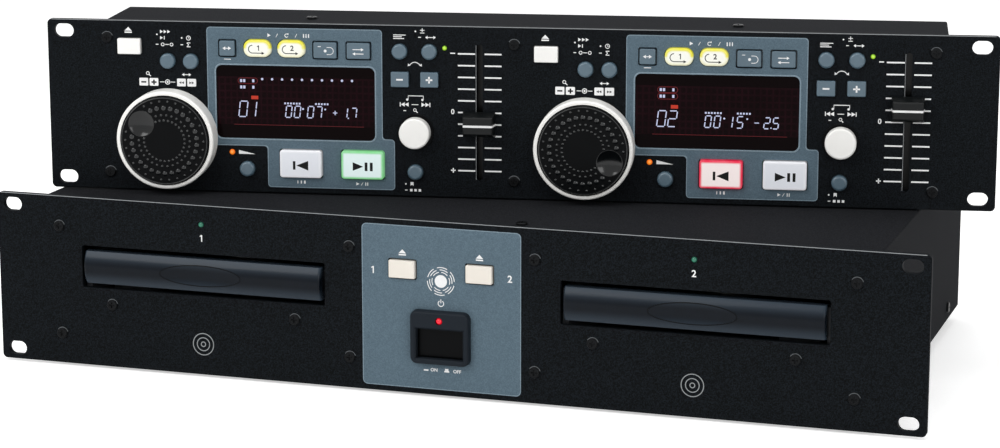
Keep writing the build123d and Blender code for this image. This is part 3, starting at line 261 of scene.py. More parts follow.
def smoked_acrylic():
    """Smoked acrylic over a display: near black, with the unlit cells' faint red grid."""
    finish, tree, shader, where = material("smoked_acrylic", Roughness=0.14, Specular_IOR_Level=0.03)
    place = unit_place(tree, where, CONTROLLER)
    lines = []
    for output, pitch in CELL_PITCH.items():
        across = node(tree, "ShaderNodeMath", {0: place[output], 1: pitch}, operation="PINGPONG")
        line = node(
            tree,
            "ShaderNodeMapRange",
            {"Value": across.outputs[0], "From Max": 0.75, "To Min": 1.0, "To Max": 0.25},
        )
        lines.append(line.outputs[0])
    grid = node(tree, "ShaderNodeMath", {0: lines[0], 1: lines[1]}, operation="MAXIMUM")
    fade = node(tree, "ShaderNodeTexNoise", {"Vector": where, "Scale": 1 / (9 * MM), "Detail": 3.0})
    shown = node(
        tree, "ShaderNodeMath", {0: grid.outputs[0], 1: fade.outputs["Fac"]}, operation="MULTIPLY"
    )
    for limit, way in zip(CELLS_V, ("GREATER_THAN", "LESS_THAN")):
        inside = node(tree, "ShaderNodeMath", {0: place["Z"], 1: limit}, operation=way)
        shown = node(
            tree, "ShaderNodeMath", {0: shown.outputs[0], 1: inside.outputs[0]}, operation="MULTIPLY"
        )
    tint = node(
        tree,
        "ShaderNodeMix",
        {0: shown.outputs[0], 6: srgb("#0A0304"), 7: srgb("#260C14")},
        data_type="RGBA",
    )
    tree.links.new(tint.outputs[2], shader.inputs["Base Color"])
    return finish


def glowing(name, colour, strength):
    """A lit display segment or diode: it gives its own colour, evenly."""
    finish, tree, shader, where = material(name, Roughness=0.4, Specular_IOR_Level=0.2)
    grain = node(tree, "ShaderNodeTexNoise", {"Vector": where, "Scale": 1 / (0.6 * MM)})
    level = node(
        tree,
        "ShaderNodeMapRange",
        {"Value": grain.outputs["Fac"], "To Min": 0.85 * strength, "To Max": 1.1 * strength},
    )
    shader.inputs["Base Color"].default_value = srgb("#050505")
    shader.inputs["Emission Color"].default_value = srgb(colour)
    tree.links.new(level.outputs[0], shader.inputs["Emission Strength"])
    return finish


def lit_cap_plastic(name, face, rim, lit):
    """Translucent acrylic cap: its lamp shows strongest at the rim, which its `rim` attribute gives."""
    finish, tree, shader, where = material(name, Roughness=0.3, Specular_IOR_Level=0.4)
    edge = node(tree, "ShaderNodeAttribute", attribute_name="rim")
    drift = node(tree, "ShaderNodeTexNoise", {"Vector": where, "Scale": 1 / (5 * MM)})
    uneven = node(
        tree, "ShaderNodeMapRange", {"Value": drift.outputs["Fac"], "To Min": 0.75, "To Max": 1.15}
    )
    share = node(
        tree, "ShaderNodeMath", {0: edge.outputs["Fac"], 1: uneven.outputs[0]}, operation="MULTIPLY"
    )
    tint = node(
        tree,
        "ShaderNodeMix",
        {0: share.outputs[0], 6: srgb(face), 7: srgb(rim)},
        data_type="RGBA",
        clamp_factor=True,
    )
    unlit = 1.0 - lit
    base = node(
        tree,
        "ShaderNodeMix",
        {0: 1.0, 6: tint.outputs[2], 7: (unlit, unlit, unlit, 1.0)},
        data_type="RGBA",
        blend_type="MULTIPLY",
    )
    tree.links.new(base.outputs[2], shader.inputs["Base Color"])
    tree.links.new(tint.outputs[2], shader.inputs["Emission Color"])
    shader.inputs["Emission Strength"].default_value = lit
    return finish


def lens_plastic(name, colour, glow, strength):
    """A tinted diode lens: clear epoxy that is lit from inside, less at its `rim` attribute."""
    finish, tree, shader, _ = material(name, Roughness=0.15, Emission_Strength=strength)
    edge = node(tree, "ShaderNodeAttribute", attribute_name="rim")
    tint = node(
        tree,
        "ShaderNodeMix",
        {0: edge.outputs["Fac"], 6: srgb(glow), 7: srgb(colour)},
        data_type="RGBA",
    )
    shader.inputs["Base Color"].default_value = srgb(colour)
    tree.links.new(tint.outputs[2], shader.inputs["Emission Color"])
    return finish


def screen_ink(name, colour, worn):
    """Screen-printed ink: flat, slightly uneven in cover."""
    finish, tree, shader, where = material(name, Roughness=0.6, Specular_IOR_Level=0.2)
    cover = node(tree, "ShaderNodeTexNoise", {"Vector": where, "Scale": 1 / (0.5 * MM), "Detail": 2.0})
    tint = node(
        tree,
        "ShaderNodeMix",
        {0: cover.outputs["Fac"], 6: srgb(colour), 7: srgb(worn)},
        data_type="RGBA",
    )
    tree.links.new(tint.outputs[2], shader.inputs["Base Color"])
    return finish


def circuit_laminate(name, unit, front, rear):
    """Glass-epoxy board under green solder mask, and black plastic before and behind its depths."""
    finish, tree, shader, where = material(name, Roughness=0.35, Specular_IOR_Level=0.3)
    tracks = node(
        tree,
        "ShaderNodeTexBrick",
        {
            "Vector": where,
            "Scale": 1 / (6 * MM),
            "Color1": srgb("#1C5A38"),
            "Color2": srgb("#174A2F"),
            "Mortar": srgb("#3B8A58"),
            "Mortar Size": 0.04,
        },
    )
    depth = unit_place(tree, where, unit)["Y"]
    behind = node(tree, "ShaderNodeMath", {0: depth, 1: front}, operation="GREATER_THAN")
    before = node(tree, "ShaderNodeMath", {0: depth, 1: rear}, operation="LESS_THAN")
    board = node(
        tree, "ShaderNodeMath", {0: behind.outputs[0], 1: before.outputs[0]}, operation="MULTIPLY"
    )
    tint = node(
        tree,
        "ShaderNodeMix",
        {0: board.outputs[0], 6: srgb("#060708"), 7: tracks.outputs["Color"]},
        data_type="RGBA",
    )
    tree.links.new(tint.outputs[2], shader.inputs["Base Color"])
    return finish


DOOR_UNREFLECTED_HALF_H = 1.5  # half the height of the door's middle, outside which a painted reflection pales the door towards its long edges


def tray_plastic_with_painted_reflection():
    """Dark blue-grey ABS of the trays, with a painted reflection that makes it paler towards the door's
    long edges.
    """
    finish = moulded_abs("blue_grey_tray_abs_with_painted_reflection", "#070C12", "#0C131B", roughness=0.22, gloss=0.12)
    tree, shader, where = parts_of(finish)
    inner = shader.inputs["Base Color"].links[0].from_socket
    height = unit_place(tree, where, PLAYER)["Z"]
    away = node(tree, "ShaderNodeMath", {0: height, 1: DOOR_V}, operation="SUBTRACT")
    far = node(tree, "ShaderNodeMath", {0: away.outputs[0]}, operation="ABSOLUTE")
    share = node(
        tree,
        "ShaderNodeMapRange",
        {"Value": far.outputs[0], "From Min": DOOR_UNREFLECTED_HALF_H, "From Max": DOOR_HALF_H},
        interpolation_type="SMOOTHSTEP",
    )
    # painted reflection: the door's colour pales towards its upper and lower edges
    tint = node(
        tree,
        "ShaderNodeMix",
        {0: share.outputs[0], 6: inner, 7: srgb("#2C3640")},
        data_type="RGBA",
    )
    tree.links.new(tint.outputs[2], shader.inputs["Base Color"])
    return finish


def cast_alloy():
    """Die-cast zinc alloy: dull, faintly cloudy."""
    finish, tree, shader, where = material("die_cast_alloy", Metallic=1.0, Roughness=0.45)
    cloud = node(tree, "ShaderNodeTexNoise", {"Vector": where, "Scale": 1 / (3 * MM), "Detail": 3.0})
    tint = node(
        tree,
        "ShaderNodeMix",
        {0: cloud.outputs["Fac"], 6: srgb("#8C8E90"), 7: srgb("#B5B6B6")},
        data_type="RGBA",
    )
    tree.links.new(tint.outputs[2], shader.inputs["Base Color"])
    return finish


enamel = front_panel_paint()
cover_paint = textured_paint(
    "satin_black_enamel", "#191A1C", "#292A2D", grain=0.5, relief=0.02, roughness=0.7, gloss=0.01
)
pan_paint = textured_paint(
    "pan_black_enamel", "#121314", "#1F2123", grain=0.5, relief=0.02, roughness=0.7, gloss=0.01
)
field_paint = textured_paint(
    "blue_grey_enamel", "#50616C", "#5F727E", grain=0.5, relief=0.012, roughness=0.5, gloss=0.1
)
# paler, glossier copy of the field paint: a painted highlight on plate edges and window rims
pale_highlight_paint = textured_paint(
    "pale_blue_grey_highlight_enamel", "#71838F", "#8597A3", grain=0.5, relief=0.01, roughness=0.4, gloss=0.3
)
grey_abs = moulded_abs("blue_grey_abs", "#485C69", "#536976", roughness=0.33, gloss=0.6)
white_abs = moulded_abs("white_abs", "#F3F2EE", "#F8F7F4", roughness=0.38)
cream_abs = moulded_abs("cream_abs", "#E4DDD2", "#EAE4DA", roughness=0.35)
black_abs = moulded_abs("black_abs", "#040506", "#08090B", roughness=0.32, gloss=0.06)
glossy_abs = moulded_abs("glossy_black_abs", "#090B0D", "#0F1214", roughness=0.2, gloss=0.5)
fader_abs = moulded_abs("black_fader_abs", "#080A0B", "#0D1011", roughness=0.33, gloss=0.2)
bowl_abs = moulded_abs("smooth_black_abs", "#050708", "#080A0C", roughness=0.15, gloss=0.38)
loader_abs = moulded_abs("grey_loader_abs", "#34363A", "#3D4043", roughness=0.5)
tray_abs = tray_plastic_with_painted_reflection()
red_abs = moulded_abs("red_abs", "#A8141C", "#B41A22")
hub_abs = moulded_abs("natural_acetal", "#D8D6CF", "#E2E0DA", roughness=0.4)
screw_finish = screw_steel()
window_finish = smoked_acrylic()
player_boards = circuit_laminate("player_solder_mask", PLAYER, *PLAYER_BOARD_DEPTHS)
controller_board = circuit_laminate("controller_solder_mask", CONTROLLER, *CONTROLLER_BOARD_DEPTHS)
alloy = cast_alloy()
white_ink = screen_ink("white_ink", "#F4F4F4", "#E4E4E4")
# grey ink for the disc pictograms, and also the painted highlight on the panel and fader slot edges
grey_ink_and_highlight = screen_ink("grey_ink_and_highlight", "#9A9D9F", "#86898B")
# pale paint for the painted highlight on the upper edge of each screw head
highlight_ink = screen_ink("screw_highlight_paint", "#74787B", "#5C6063")
black_ink = screen_ink("black_ink", "#08090A", "#101112")
display_white = glowing("display_blue_white", "#CDD2F2", 0.95)
display_red = glowing("display_red", "#C8341C", 0.9)
display_dim_red = glowing("display_dim_red", "#8E1B26", 0.5)


# ================================================================ shapes


def lathe(bm, profile, u=0.0, v=0.0, steps=48):
    """Spins a profile of (radius, w) points right round the w axis through (u, v)."""
    points = [bm.verts.new((u + radius, v, w)) for radius, w in profile]
    edges = [bm.edges.new(pair) for pair in zip(points, points[1:])]
    bmesh.ops.spin(
        bm, geom=points + edges, cent=(u, v, 0), axis=(0, 0, 1), angle=tau, steps=steps, use_merge=True
    )


def clean(bm):
    """Closes seams and poles, and turns every face outwards."""
    bmesh.ops.remove_doubles(bm, verts=bm.verts, dist=LOOSE)
    bmesh.ops.dissolve_degenerate(bm, edges=bm.edges, dist=LOOSE / 10)
    bmesh.ops.recalc_face_normals(bm, faces=bm.faces)
    return bm


def curve_bmesh(curve, u=0.0, v=0.0, w=0.0):
    """A flat curve or lettering as a bmesh, moved to its place."""
    holder = bpy.data.objects.new(curve.name, curve)
    mesh = bpy.data.meshes.new_from_object(holder)
    bm = bmesh.new()
    bm.from_mesh(mesh)
    bpy.data.objects.remove(holder)
    bpy.data.curves.remove(curve)
    bpy.data.meshes.remove(mesh)
    bmesh.ops.translate(bm, vec=(u, v, w), verts=bm.verts)
    return clean(bm)


def add_outline(curve, corners, radius):
    """Adds a closed outline to a flat curve, with every corner rounded."""
    spline = curve.splines.new("BEZIER")
    spline.use_cyclic_u = True
    spline.bezier_points.add(2 * len(corners) - 1)
    for index, place in enumerate(corners):
        corner = Vector((*place, 0))
        before = (Vector((*corners[index - 1], 0)) - corner).normalized()
        after = (Vector((*corners[(index + 1) % len(corners)], 0)) - corner).normalized()
        for point, side, handle in (
            (spline.bezier_points[2 * index], before, "handle_right"),
            (spline.bezier_points[2 * index + 1], after, "handle_left"),
        ):
            point.handle_left_type = point.handle_right_type = "FREE"
            point.co = point.handle_left = point.handle_right = corner + side * radius
            setattr(point, handle, corner + side * radius * ROUND_HANDLE)


def plate(outlines, low, high, bevel=0.0):
    """A plate between two heights. The first (corners, radius) is its edge, the others are holes."""
    curve = bpy.data.curves.new("plate", "CURVE")
    curve.dimensions = "2D"
    curve.fill_mode = "BOTH"
    curve.resolution_u = CURVE_STEPS
    curve.extrude = (high - low) / 2 - bevel
    curve.bevel_depth = bevel
    curve.offset = -bevel
    for corners, radius in outlines:
        add_outline(curve, corners, radius)
    return curve_bmesh(curve, w=(low + high) / 2)


def box_corners(u, v, width, height):
    """The corners of an upright rectangle around (u, v)."""
    return [(u + a * width / 2, v + b * height / 2) for a, b in ((-1, -1), (1, -1), (1, 1), (-1, 1))]


def grown(corners, amount):
    """The corners of a right-angled outline that runs anticlockwise, moved outwards by an amount."""
    moved = []
    for index, place in enumerate(corners):
        corner = Vector(place)
        before = (Vector(corners[index - 1]) - corner).normalized()
        after = (Vector(corners[(index + 1) % len(corners)]) - corner).normalized()
        way = 1 if before.cross(after) > 0 else -1
        moved.append(tuple(corner + (before + after) * way * amount))
    return moved


def hole_around(low, high, gap):
    """The corners of a box's outline, grown by a gap."""
    middle, size = (low + high) / 2, high - low
    return box_corners(middle.x, middle.y, size.x + 2 * gap, size.y + 2 * gap)


# share of a cap's inset, and the glow that is left there
GLOW_STEPS = ((0.45, 0.45), (0.55, 0.0))


def cap(low, high, corner, edge, inset, lower_glow):
    """A moulded cap between two (u, v, w) corners.

    Its `rim` attribute is 1 at its sides, less at their lower half, and 0 inside.
    """
    bm = bmesh.new()
    rim = bm.verts.layers.float.new("rim")
    size, middle = high - low, (low + high) / 2
    bmesh.ops.create_cube(bm, size=1.0)
    bmesh.ops.scale(bm, vec=size, verts=bm.verts)
    bmesh.ops.translate(bm, vec=middle, verts=bm.verts)
    upright = [e for e in bm.edges if abs(e.verts[0].co.z - e.verts[1].co.z) > size.z / 2]
    bmesh.ops.bevel(
        bm, geom=upright, offset=corner, segments=6, profile=0.5, affect="EDGES", material=-1
    )
    front = max(bm.faces, key=lambda face: face.calc_center_median().z)
    bmesh.ops.bevel(
        bm, geom=list(front.edges), offset=edge, segments=4, profile=0.5, affect="EDGES", material=-1
    )
    for vertex in bm.verts:
        vertex[rim] = 1.0 if vertex.co.y > middle.y else lower_glow
    # Two loops inside the front: the glow falls off over the outer one, and the inner one is even.
    for share, level in GLOW_STEPS:
        front = max(bm.faces, key=lambda face: (round(face.calc_center_median().z, 4), face.calc_area()))
        bmesh.ops.inset_region(bm, faces=[front], thickness=0.0)
        width, height = size.x - 2 * edge, size.y - 2 * edge
        bmesh.ops.scale(
            bm,
            vec=(1 - 2 * share * inset / width, 1 - 2 * share * inset / height, 1),
            space=Matrix.Translation(-middle),
            verts=front.verts,
        )
        for vertex in front.verts:
            vertex[rim] = level if vertex.co.y > middle.y else level * lower_glow
    bmesh.ops.recalc_face_normals(bm, faces=bm.faces)
    return bm


def dome(bm, u, v, w, radius, height, segments=12, rings=4):
    """Adds half of a flattened ball, standing on height w."""
    made = bmesh.ops.create_uvsphere(bm, u_segments=segments, v_segments=2 * rings, radius=1.0)
    verts = made["verts"]
    bmesh.ops.scale(bm, vec=(radius, radius, height), verts=verts)
    bmesh.ops.translate(bm, vec=(u, v, w), verts=verts)
    bmesh.ops.delete(bm, geom=[vert for vert in verts if vert.co.z < w - LOOSE], context="VERTS")


def finish_piece(bm, name, unit, body, slot, *finishes):
    """Turns a bmesh in a unit's millimetres into a finished piece that rides on a body."""
    mesh = bpy.data.meshes.new(name)
    bm.to_mesh(mesh)
    bm.free()
    mesh.transform(unit)
    mesh.shade_smooth()
    mesh.set_sharp_from_angle(angle=SHARP_ANGLE)
    for finish in finishes:
        mesh.materials.append(finish)
    piece = bpy.data.objects.new(name, mesh)
    bpy.context.scene.collection.objects.link(piece)
    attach(piece, body)
    return piece


class Print:
    """Flat thin shapes on one surface of a unit, which end up as one mesh."""

    def __init__(self, surface=0.0, thickness=INK_T, origin_u=0.0):
        self.bm = bmesh.new()
        self.origin_u = origin_u
        self.low = surface
        self.high = surface + thickness

    def shape(self, corners):
        """A filled shape with those corners."""
        places = [(self.origin_u + u, v, self.low) for u, v in corners]
        face = self.bm.faces.new([self.bm.verts.new(place) for place in places])
        raised = bmesh.ops.extrude_face_region(self.bm, geom=[face])
        verts = [item for item in raised["geom"] if isinstance(item, bmesh.types.BMVert)]
        bmesh.ops.translate(self.bm, vec=(0, 0, self.high - self.low), verts=verts)

    def box(self, u, v, width, height):
        """A filled upright rectangle."""
        self.shape(box_corners(u, v, width, height))

    def line(self, start, end, width):
        """A straight line with square ends."""
        start, end = Vector(start), Vector(end)
        side = (end - start).normalized().orthogonal() * width / 2
        self.shape([start - side, end - side, end + side, start + side])

    def disc(self, u, v, radius, steps=20):
        """A filled round spot."""
        turns = [tau * step / steps for step in range(steps)]
        self.shape([(u + radius * cos(turn), v + radius * sin(turn)) for turn in turns])

    def arc(self, u, v, radius, width, start, end, steps=16):
        """A round line from one angle to another, in degrees anticlockwise from the right."""
        turns = [radians(start + (end - start) * step / steps) for step in range(steps + 1)]
        outer = [(u + (radius + width / 2) * cos(t), v + (radius + width / 2) * sin(t)) for t in turns]
        inner = [(u + (radius - width / 2) * cos(t), v + (radius - width / 2) * sin(t)) for t in turns]
        self.shape(outer + inner[::-1])

    def ring(self, u, v, radius, width):
        """A closed round line."""
        self.arc(u, v, radius, width, 0, 180)
        self.arc(u, v, radius, width, 180, 360)

    def arrow(self, u, v, width, height, turn=0):
        """A filled triangle around (u, v), pointing right when it isn't turned."""
        corners = [(-width / 2, -height / 2), (width / 2, 0), (-width / 2, height / 2)]
        c, s = cos(radians(turn)), sin(radians(turn))
        self.shape([(u + c * a - s * b, v + s * a + c * b) for a, b in corners])

    def words(self, text, u, v, height):
        """Lettering around (u, v), with capitals of that height."""
        curve = bpy.data.curves.new("lettering", "FONT")
        curve.body = text
        curve.align_x = curve.align_y = "CENTER"
        curve.size = height / CAPITAL_SHARE
        curve.extrude = (self.high - self.low) / 2
        curve.offset = LETTER_WEIGHT * height
        lettering = curve_bmesh(curve, self.origin_u + u, v, (self.low + self.high) / 2)
        mesh = bpy.data.meshes.new("lettering")
        lettering.to_mesh(mesh)
        lettering.free()
        self.bm.from_mesh(mesh)
        bpy.data.meshes.remove(mesh)

    def piece(self, name, unit, body, slot, finish):
        """The finished piece."""
        return finish_piece(clean(self.bm), name, unit, body, slot, finish)


# ================================================================ the frame's own nodes

NODE_FINISHES = {
    "player_front_panel": enamel,
    "controller_front_panel": enamel,
    "player_top_cover": cover_paint,
    "controller_case": cover_paint,
    "player_chassis": pan_paint,
    "loader_frames": loader_abs,
    "player_circuit_boards": player_boards,
    "controller_circuit_board": controller_board,
    "player_fixings": screw_finish,
    "controller_fixings": screw_finish,
    "display_windows": window_finish,
    "power_button": black_abs,
    "player_open_button": cream_abs,
    "open_close_button": white_abs,
    "scan_ring": white_abs,
    "track_knob": white_abs,
    "jog_wheel": black_abs,
    "pitch_fader": fader_abs,
    "tray": tray_abs,
    "turntable": hub_abs,
    "pickup": alloy,
}

for node_name, node_object in frame["nodes"].items():
    kind = node_name.rstrip("12").rstrip("_")
    finish = NODE_FINISHES.get(node_name) or NODE_FINISHES.get(kind, grey_abs)
    for material_slot in node_object.material_slots:
        material_slot.material = finish


# ================================================================ player

FIELD_T, FIELD_BEVEL = 0.25, 0.08
FIELD_HALF_W, FIELD_V, FIELD_R = 41.3, (2.9, 85.0), 2.5
EJECT_HOLE_W, EJECT_HOLE_H, EJECT_HOLE_R = 15.0, 10.3, 1.2
BEZEL_V, BEZEL_HOLE_W, BEZEL_HOLE_H, BEZEL_HOLE_R = 29.7, 28.0, 24.4, 2.5
# width and lift of the pale line that is a painted highlight inside a plate's edge
HIGHLIGHT_LINE_W, HIGHLIGHT_LINE_LIFT = 0.4, 0.03
HIGHLIGHT_LINE_TIGHTER = 0.3  # the line's inner corners are this much tighter than its outer ones


def highlight_line(corners, radius, surface):
    """A fine raised line just inside an outline, which carries a painted highlight on that edge."""
    inner = (grown(corners, -HIGHLIGHT_LINE_W), radius - HIGHLIGHT_LINE_TIGHTER)
    return plate([(corners, radius), inner], 0.0, surface + HIGHLIGHT_LINE_LIFT)


def player_centre_field():
    """The blue-grey painted field in the middle of the player's panel, with a pale line at its edge that
    is a painted highlight.
    """
    edge = box_corners(0, sum(FIELD_V) / 2, 2 * FIELD_HALF_W, FIELD_V[1] - FIELD_V[0])
    outlines = [(edge, FIELD_R)]
    for deck in (1, 2):
        low, high = node_box(f"player_open_button_{deck}", PLAYER)
        middle = (low + high) / 2
        outlines.append((box_corners(middle.x, middle.y, EJECT_HOLE_W, EJECT_HOLE_H), EJECT_HOLE_R))
    outlines.append((box_corners(0, BEZEL_V, BEZEL_HOLE_W, BEZEL_HOLE_H), BEZEL_HOLE_R))
    field = plate(outlines, 0.0, FIELD_T, FIELD_BEVEL)
    finish_piece(field, "player_centre_field", PLAYER, "player", "front_panel", field_paint)
    line = highlight_line(edge, FIELD_R, FIELD_T)
    finish_piece(line, "player_field_highlight", PLAYER, "player", "front_panel", pale_highlight_paint)


def eject_sign(marks, u, v):
    """A triangle over a bar."""
    marks.arrow(u, v + 0.6, 2.0, 3.8, turn=90)
    marks.box(u, v - 1.15, 3.8, 0.65)


FLAG = ((-0.2, 0.2), (0.0, 0.3), (0.0, 0.5), (-0.2, 0.36))


def figure_one(marks, u, v, height):
    """The figure 1, with the flag that the plain lettering lacks."""
    marks.box(u + 0.08 * height, v, 0.17 * height, height)
    marks.shape([(u + a * height, v + b * height) for a, b in FLAG])


FIELD_NUMBER_AT, FIELD_NUMBER_H = (35.6, 61.6), 3.6
FIELD_EJECT_AT = (20.0, 71.3)
DISC_V, DISC_R, DISC_TRACKS, DISC_LINE_W = 58.1, 3.2, (4.6, 5.8, 7.0), 0.4
POWER_SIGN_V, POWER_SIGN_R, POWER_SIGN_LINE_W = 46.9, 1.45, 0.42
ON_OFF_V, ON_OFF_H = 12.8, 1.7
TRAY_NUMBER_V, TRAY_NUMBER_H = 71.0, 3.4
PICTOGRAM_V, PICTOGRAM_RADII, PICTOGRAM_LINE_W = 16.0, (1.2, 3.4, 5.6), 0.45


def track_disc(marks):
    """A plain disc with its tracks, whose gaps run round it in a spiral."""
    marks.disc(0, DISC_V, DISC_R, steps=32)
    for radius in DISC_TRACKS:
        turned = 8 * radius
        for start in range(0, 360, 60):
            marks.arc(0, DISC_V, radius, DISC_LINE_W, turned + start + 6, turned + start + 50, steps=6)


def power_signs(marks):
    """The power sign, ON with a pressed button and OFF with a raised one."""
    marks.arc(0, POWER_SIGN_V, POWER_SIGN_R, POWER_SIGN_LINE_W, 120, 420)
    marks.line((0, POWER_SIGN_V + 0.2), (0, POWER_SIGN_V + 2.1), POWER_SIGN_LINE_W)
    marks.box(-7.9, ON_OFF_V - 0.3, 2.4, 0.7)
    marks.words("ON", -3.7, ON_OFF_V, ON_OFF_H)
    marks.box(2.9, ON_OFF_V - 0.35, 2.6, 0.7)
    marks.box(2.9, ON_OFF_V + 0.55, 1.8, 1.1)
    marks.words("OFF", 8.3, ON_OFF_V, ON_OFF_H)


def player_marks():
    """The numbers, signs and disc pictograms on the player's front."""
    marks = Print(FIELD_T)
    u, v = FIELD_NUMBER_AT
    figure_one(marks, -u, v, FIELD_NUMBER_H)
    marks.words("2", u, v, FIELD_NUMBER_H)
    for side in (-1, 1):
        eject_sign(marks, side * FIELD_EJECT_AT[0], FIELD_EJECT_AT[1])
    track_disc(marks)
    power_signs(marks)
    marks.piece("player_field_marks", PLAYER, "player", "front_panel", white_ink)
    numbers = Print()
    figure_one(numbers, -TRAY_U, TRAY_NUMBER_V, TRAY_NUMBER_H)
    numbers.words("2", TRAY_U, TRAY_NUMBER_V, TRAY_NUMBER_H)
    numbers.piece("player_deck_numbers", PLAYER, "player", "front_panel", white_ink)
    discs = Print()
    for side in (-1, 1):
        for radius in PICTOGRAM_RADII:
            discs.ring(side * TRAY_U, PICTOGRAM_V, radius, PICTOGRAM_LINE_W)
    discs.piece("player_disc_pictograms", PLAYER, "player", "front_panel", grey_ink_and_highlight)


GRIP_HALF_L, GRIP_HALF_H, GRIP_STEPS = 22.0, 5.3, 64
# width, proud and sunk of the dark line of painted shade at the grip's edge
GRIP_LINE_W, GRIP_LINE_PROUD, GRIP_LINE_SUNK = 0.45, 0.03, 0.1


def tray_grip_shade_lines():
    """A dark line of painted shade at the edge of the finger grip in each tray's door: an oval, bent
    over the door's curve.
    """
    for number, side in ((1, -1), (2, 1)):
        crown = node_box(f"tray_{number}", PLAYER)[1].z
        bm = bmesh.new()
        for shift in (-GRIP_LINE_W / 2, GRIP_LINE_W / 2):
            oval = bmesh.ops.create_circle(bm, segments=GRIP_STEPS, radius=1.0)["verts"]
            bmesh.ops.scale(bm, vec=(GRIP_HALF_L + shift, GRIP_HALF_H + shift, 1), verts=oval)
        bmesh.ops.translate(bm, vec=(0, 0, -GRIP_LINE_SUNK), verts=bm.verts)
        ring = bmesh.ops.bridge_loops(bm, edges=bm.edges)["faces"]
        raised = bmesh.ops.extrude_face_region(bm, geom=ring)["geom"]
        front = [item for item in raised if isinstance(item, bmesh.types.BMVert)]
        bmesh.ops.translate(bm, vec=(0, 0, GRIP_LINE_SUNK + GRIP_LINE_PROUD), verts=front)
        for vertex in bm.verts:
            vertex.co.z -= DOOR_R - (DOOR_R**2 - vertex.co.y**2) ** 0.5
        bmesh.ops.translate(bm, vec=(side * TRAY_U, DOOR_V, crown), verts=bm.verts)
        name, body = f"tray_grip_shade_line_{number}", f"tray_{number}"
        finish_piece(clean(bm), name, PLAYER, body, "black_plastic", black_abs)


LENS_SEAT_W = -0.4  # where the lens of a panel's lamp starts
PLAYER_LAMP_V, PLAYER_LAMP_R, PLAYER_LAMP_H = 78.0, 1.45, 1.3
POWER_LAMP_V, POWER_LAMP_W, POWER_LAMP_R, POWER_LAMP_H = 38.6, 2.5, 1.75, 1.8


def lamp(name, unit, body, place, radius, height, finish):
    """A diode's rounded lens at a (u, v, w). Its `rim` attribute grows from its middle to its edge."""
    bm = bmesh.new()
    rim = bm.verts.layers.float.new("rim")
    dome(bm, *place, radius, height, segments=20, rings=6)
    middle = Vector(place).xy
    for vertex in bm.verts:
        vertex[rim] = (middle - vertex.co.xy).length / radius
    finish_piece(clean(bm), name, unit, body, "lamp_white", finish)


def player_lamps():
    """The green lamp over each tray and the red one over the power button."""
    green = lens_plastic("green_lens", "#0E3F30", "#2F9E7C", 0.55)
    red = lens_plastic("red_lens", "#B0061A", "#F01830", 0.9)
    for number, side in ((1, -1), (2, 1)):
        place = (side * TRAY_U, PLAYER_LAMP_V, LENS_SEAT_W)
        lamp(f"player_lamp_{number}", PLAYER, "player", place, PLAYER_LAMP_R, PLAYER_LAMP_H, green)
    place = (0, POWER_LAMP_V, POWER_LAMP_W)
    lamp("power_lamp", PLAYER, "player", place, POWER_LAMP_R, POWER_LAMP_H, red)


# ================================================================ both rears

SOCKET_V, SOCKET_LABEL_V, SOCKET_LABEL_H = 30.0, 42.0, 3.6
PHONO_PAIRS = ((60.0, 80.0), (110.0, 130.0))
REMOTE_U, INLET_U = (-30.0, 0.0), -165.0
CONTROLLER_SOCKET = (120.0, 40.0)
SOCKET_STEPS = 32
# (radius, w) from the rear wall's face
PHONO_SLEEVE = [
    (4.22, 0.0), (4.4, 0.0), (4.4, 7.1), (3.5, 7.1), (3.5, 7.02), (4.22, 7.02), (4.22, 0.0),
]
PHONO_CORE = [(1.65, 7.02), (1.65, 7.3), (3.4, 7.3), (3.4, 7.02), (1.65, 7.02)]
SOCKET_RIM = [
    (5.65, 0.42), (5.65, 0.8), (6.7, 0.8), (7.2, 0.02), (6.62, 0.02), (6.62, 0.42), (5.65, 0.42),
]
# half the space for the number, half the bracket's length, its drop and its line
BRACKET_GAP, BRACKET_HALF_L, BRACKET_DROP, BRACKET_LINE_W = 3.5, 14.0, 3.0, 0.4
MAINS_SIGN_V, MAINS_SIGN_R, MAINS_SIGN_LINE_W = 46.0, 1.5, 0.5


def rear_of(unit, depth):
    """A unit's own millimetres as seen from behind: u to the right there, w out of its rear wall."""
    return unit @ Matrix.Translation((0, 0, -depth)) @ Matrix.Rotation(pi, 4, "Y")


def rear_sockets():
    """Nickel sleeves and rims, and the phono sockets' white and red cores."""
    player_rear, controller_rear = rear_of(PLAYER, PLAYER_REAR), rear_of(CONTROLLER, CONTROLLER_REAR)
    metal, white, red = bmesh.new(), bmesh.new(), bmesh.new()
    for pair in PHONO_PAIRS:
        for u, core in zip(pair, (white, red)):
            lathe(metal, PHONO_SLEEVE, -u, SOCKET_V, steps=SOCKET_STEPS)
            lathe(core, PHONO_CORE, -u, SOCKET_V, steps=SOCKET_STEPS)
    for u in REMOTE_U:
        lathe(metal, SOCKET_RIM, -u, SOCKET_V, steps=SOCKET_STEPS)
    rim = bmesh.new()
    lathe(rim, SOCKET_RIM, -CONTROLLER_SOCKET[0], CONTROLLER_SOCKET[1], steps=SOCKET_STEPS)
    for bm, name, rear, body, slot, finish in (
        (metal, "player_socket_metal", player_rear, "player", "pickup_alloy", alloy),
        (white, "phono_white_cores", player_rear, "player", "white_plastic", white_abs),
        (red, "phono_red_cores", player_rear, "player", "white_plastic", red_abs),
        (rim, "controller_socket_rim", controller_rear, "controller", "pickup_alloy", alloy),
    ):
        finish_piece(clean(bm), name, rear, body, slot, finish)


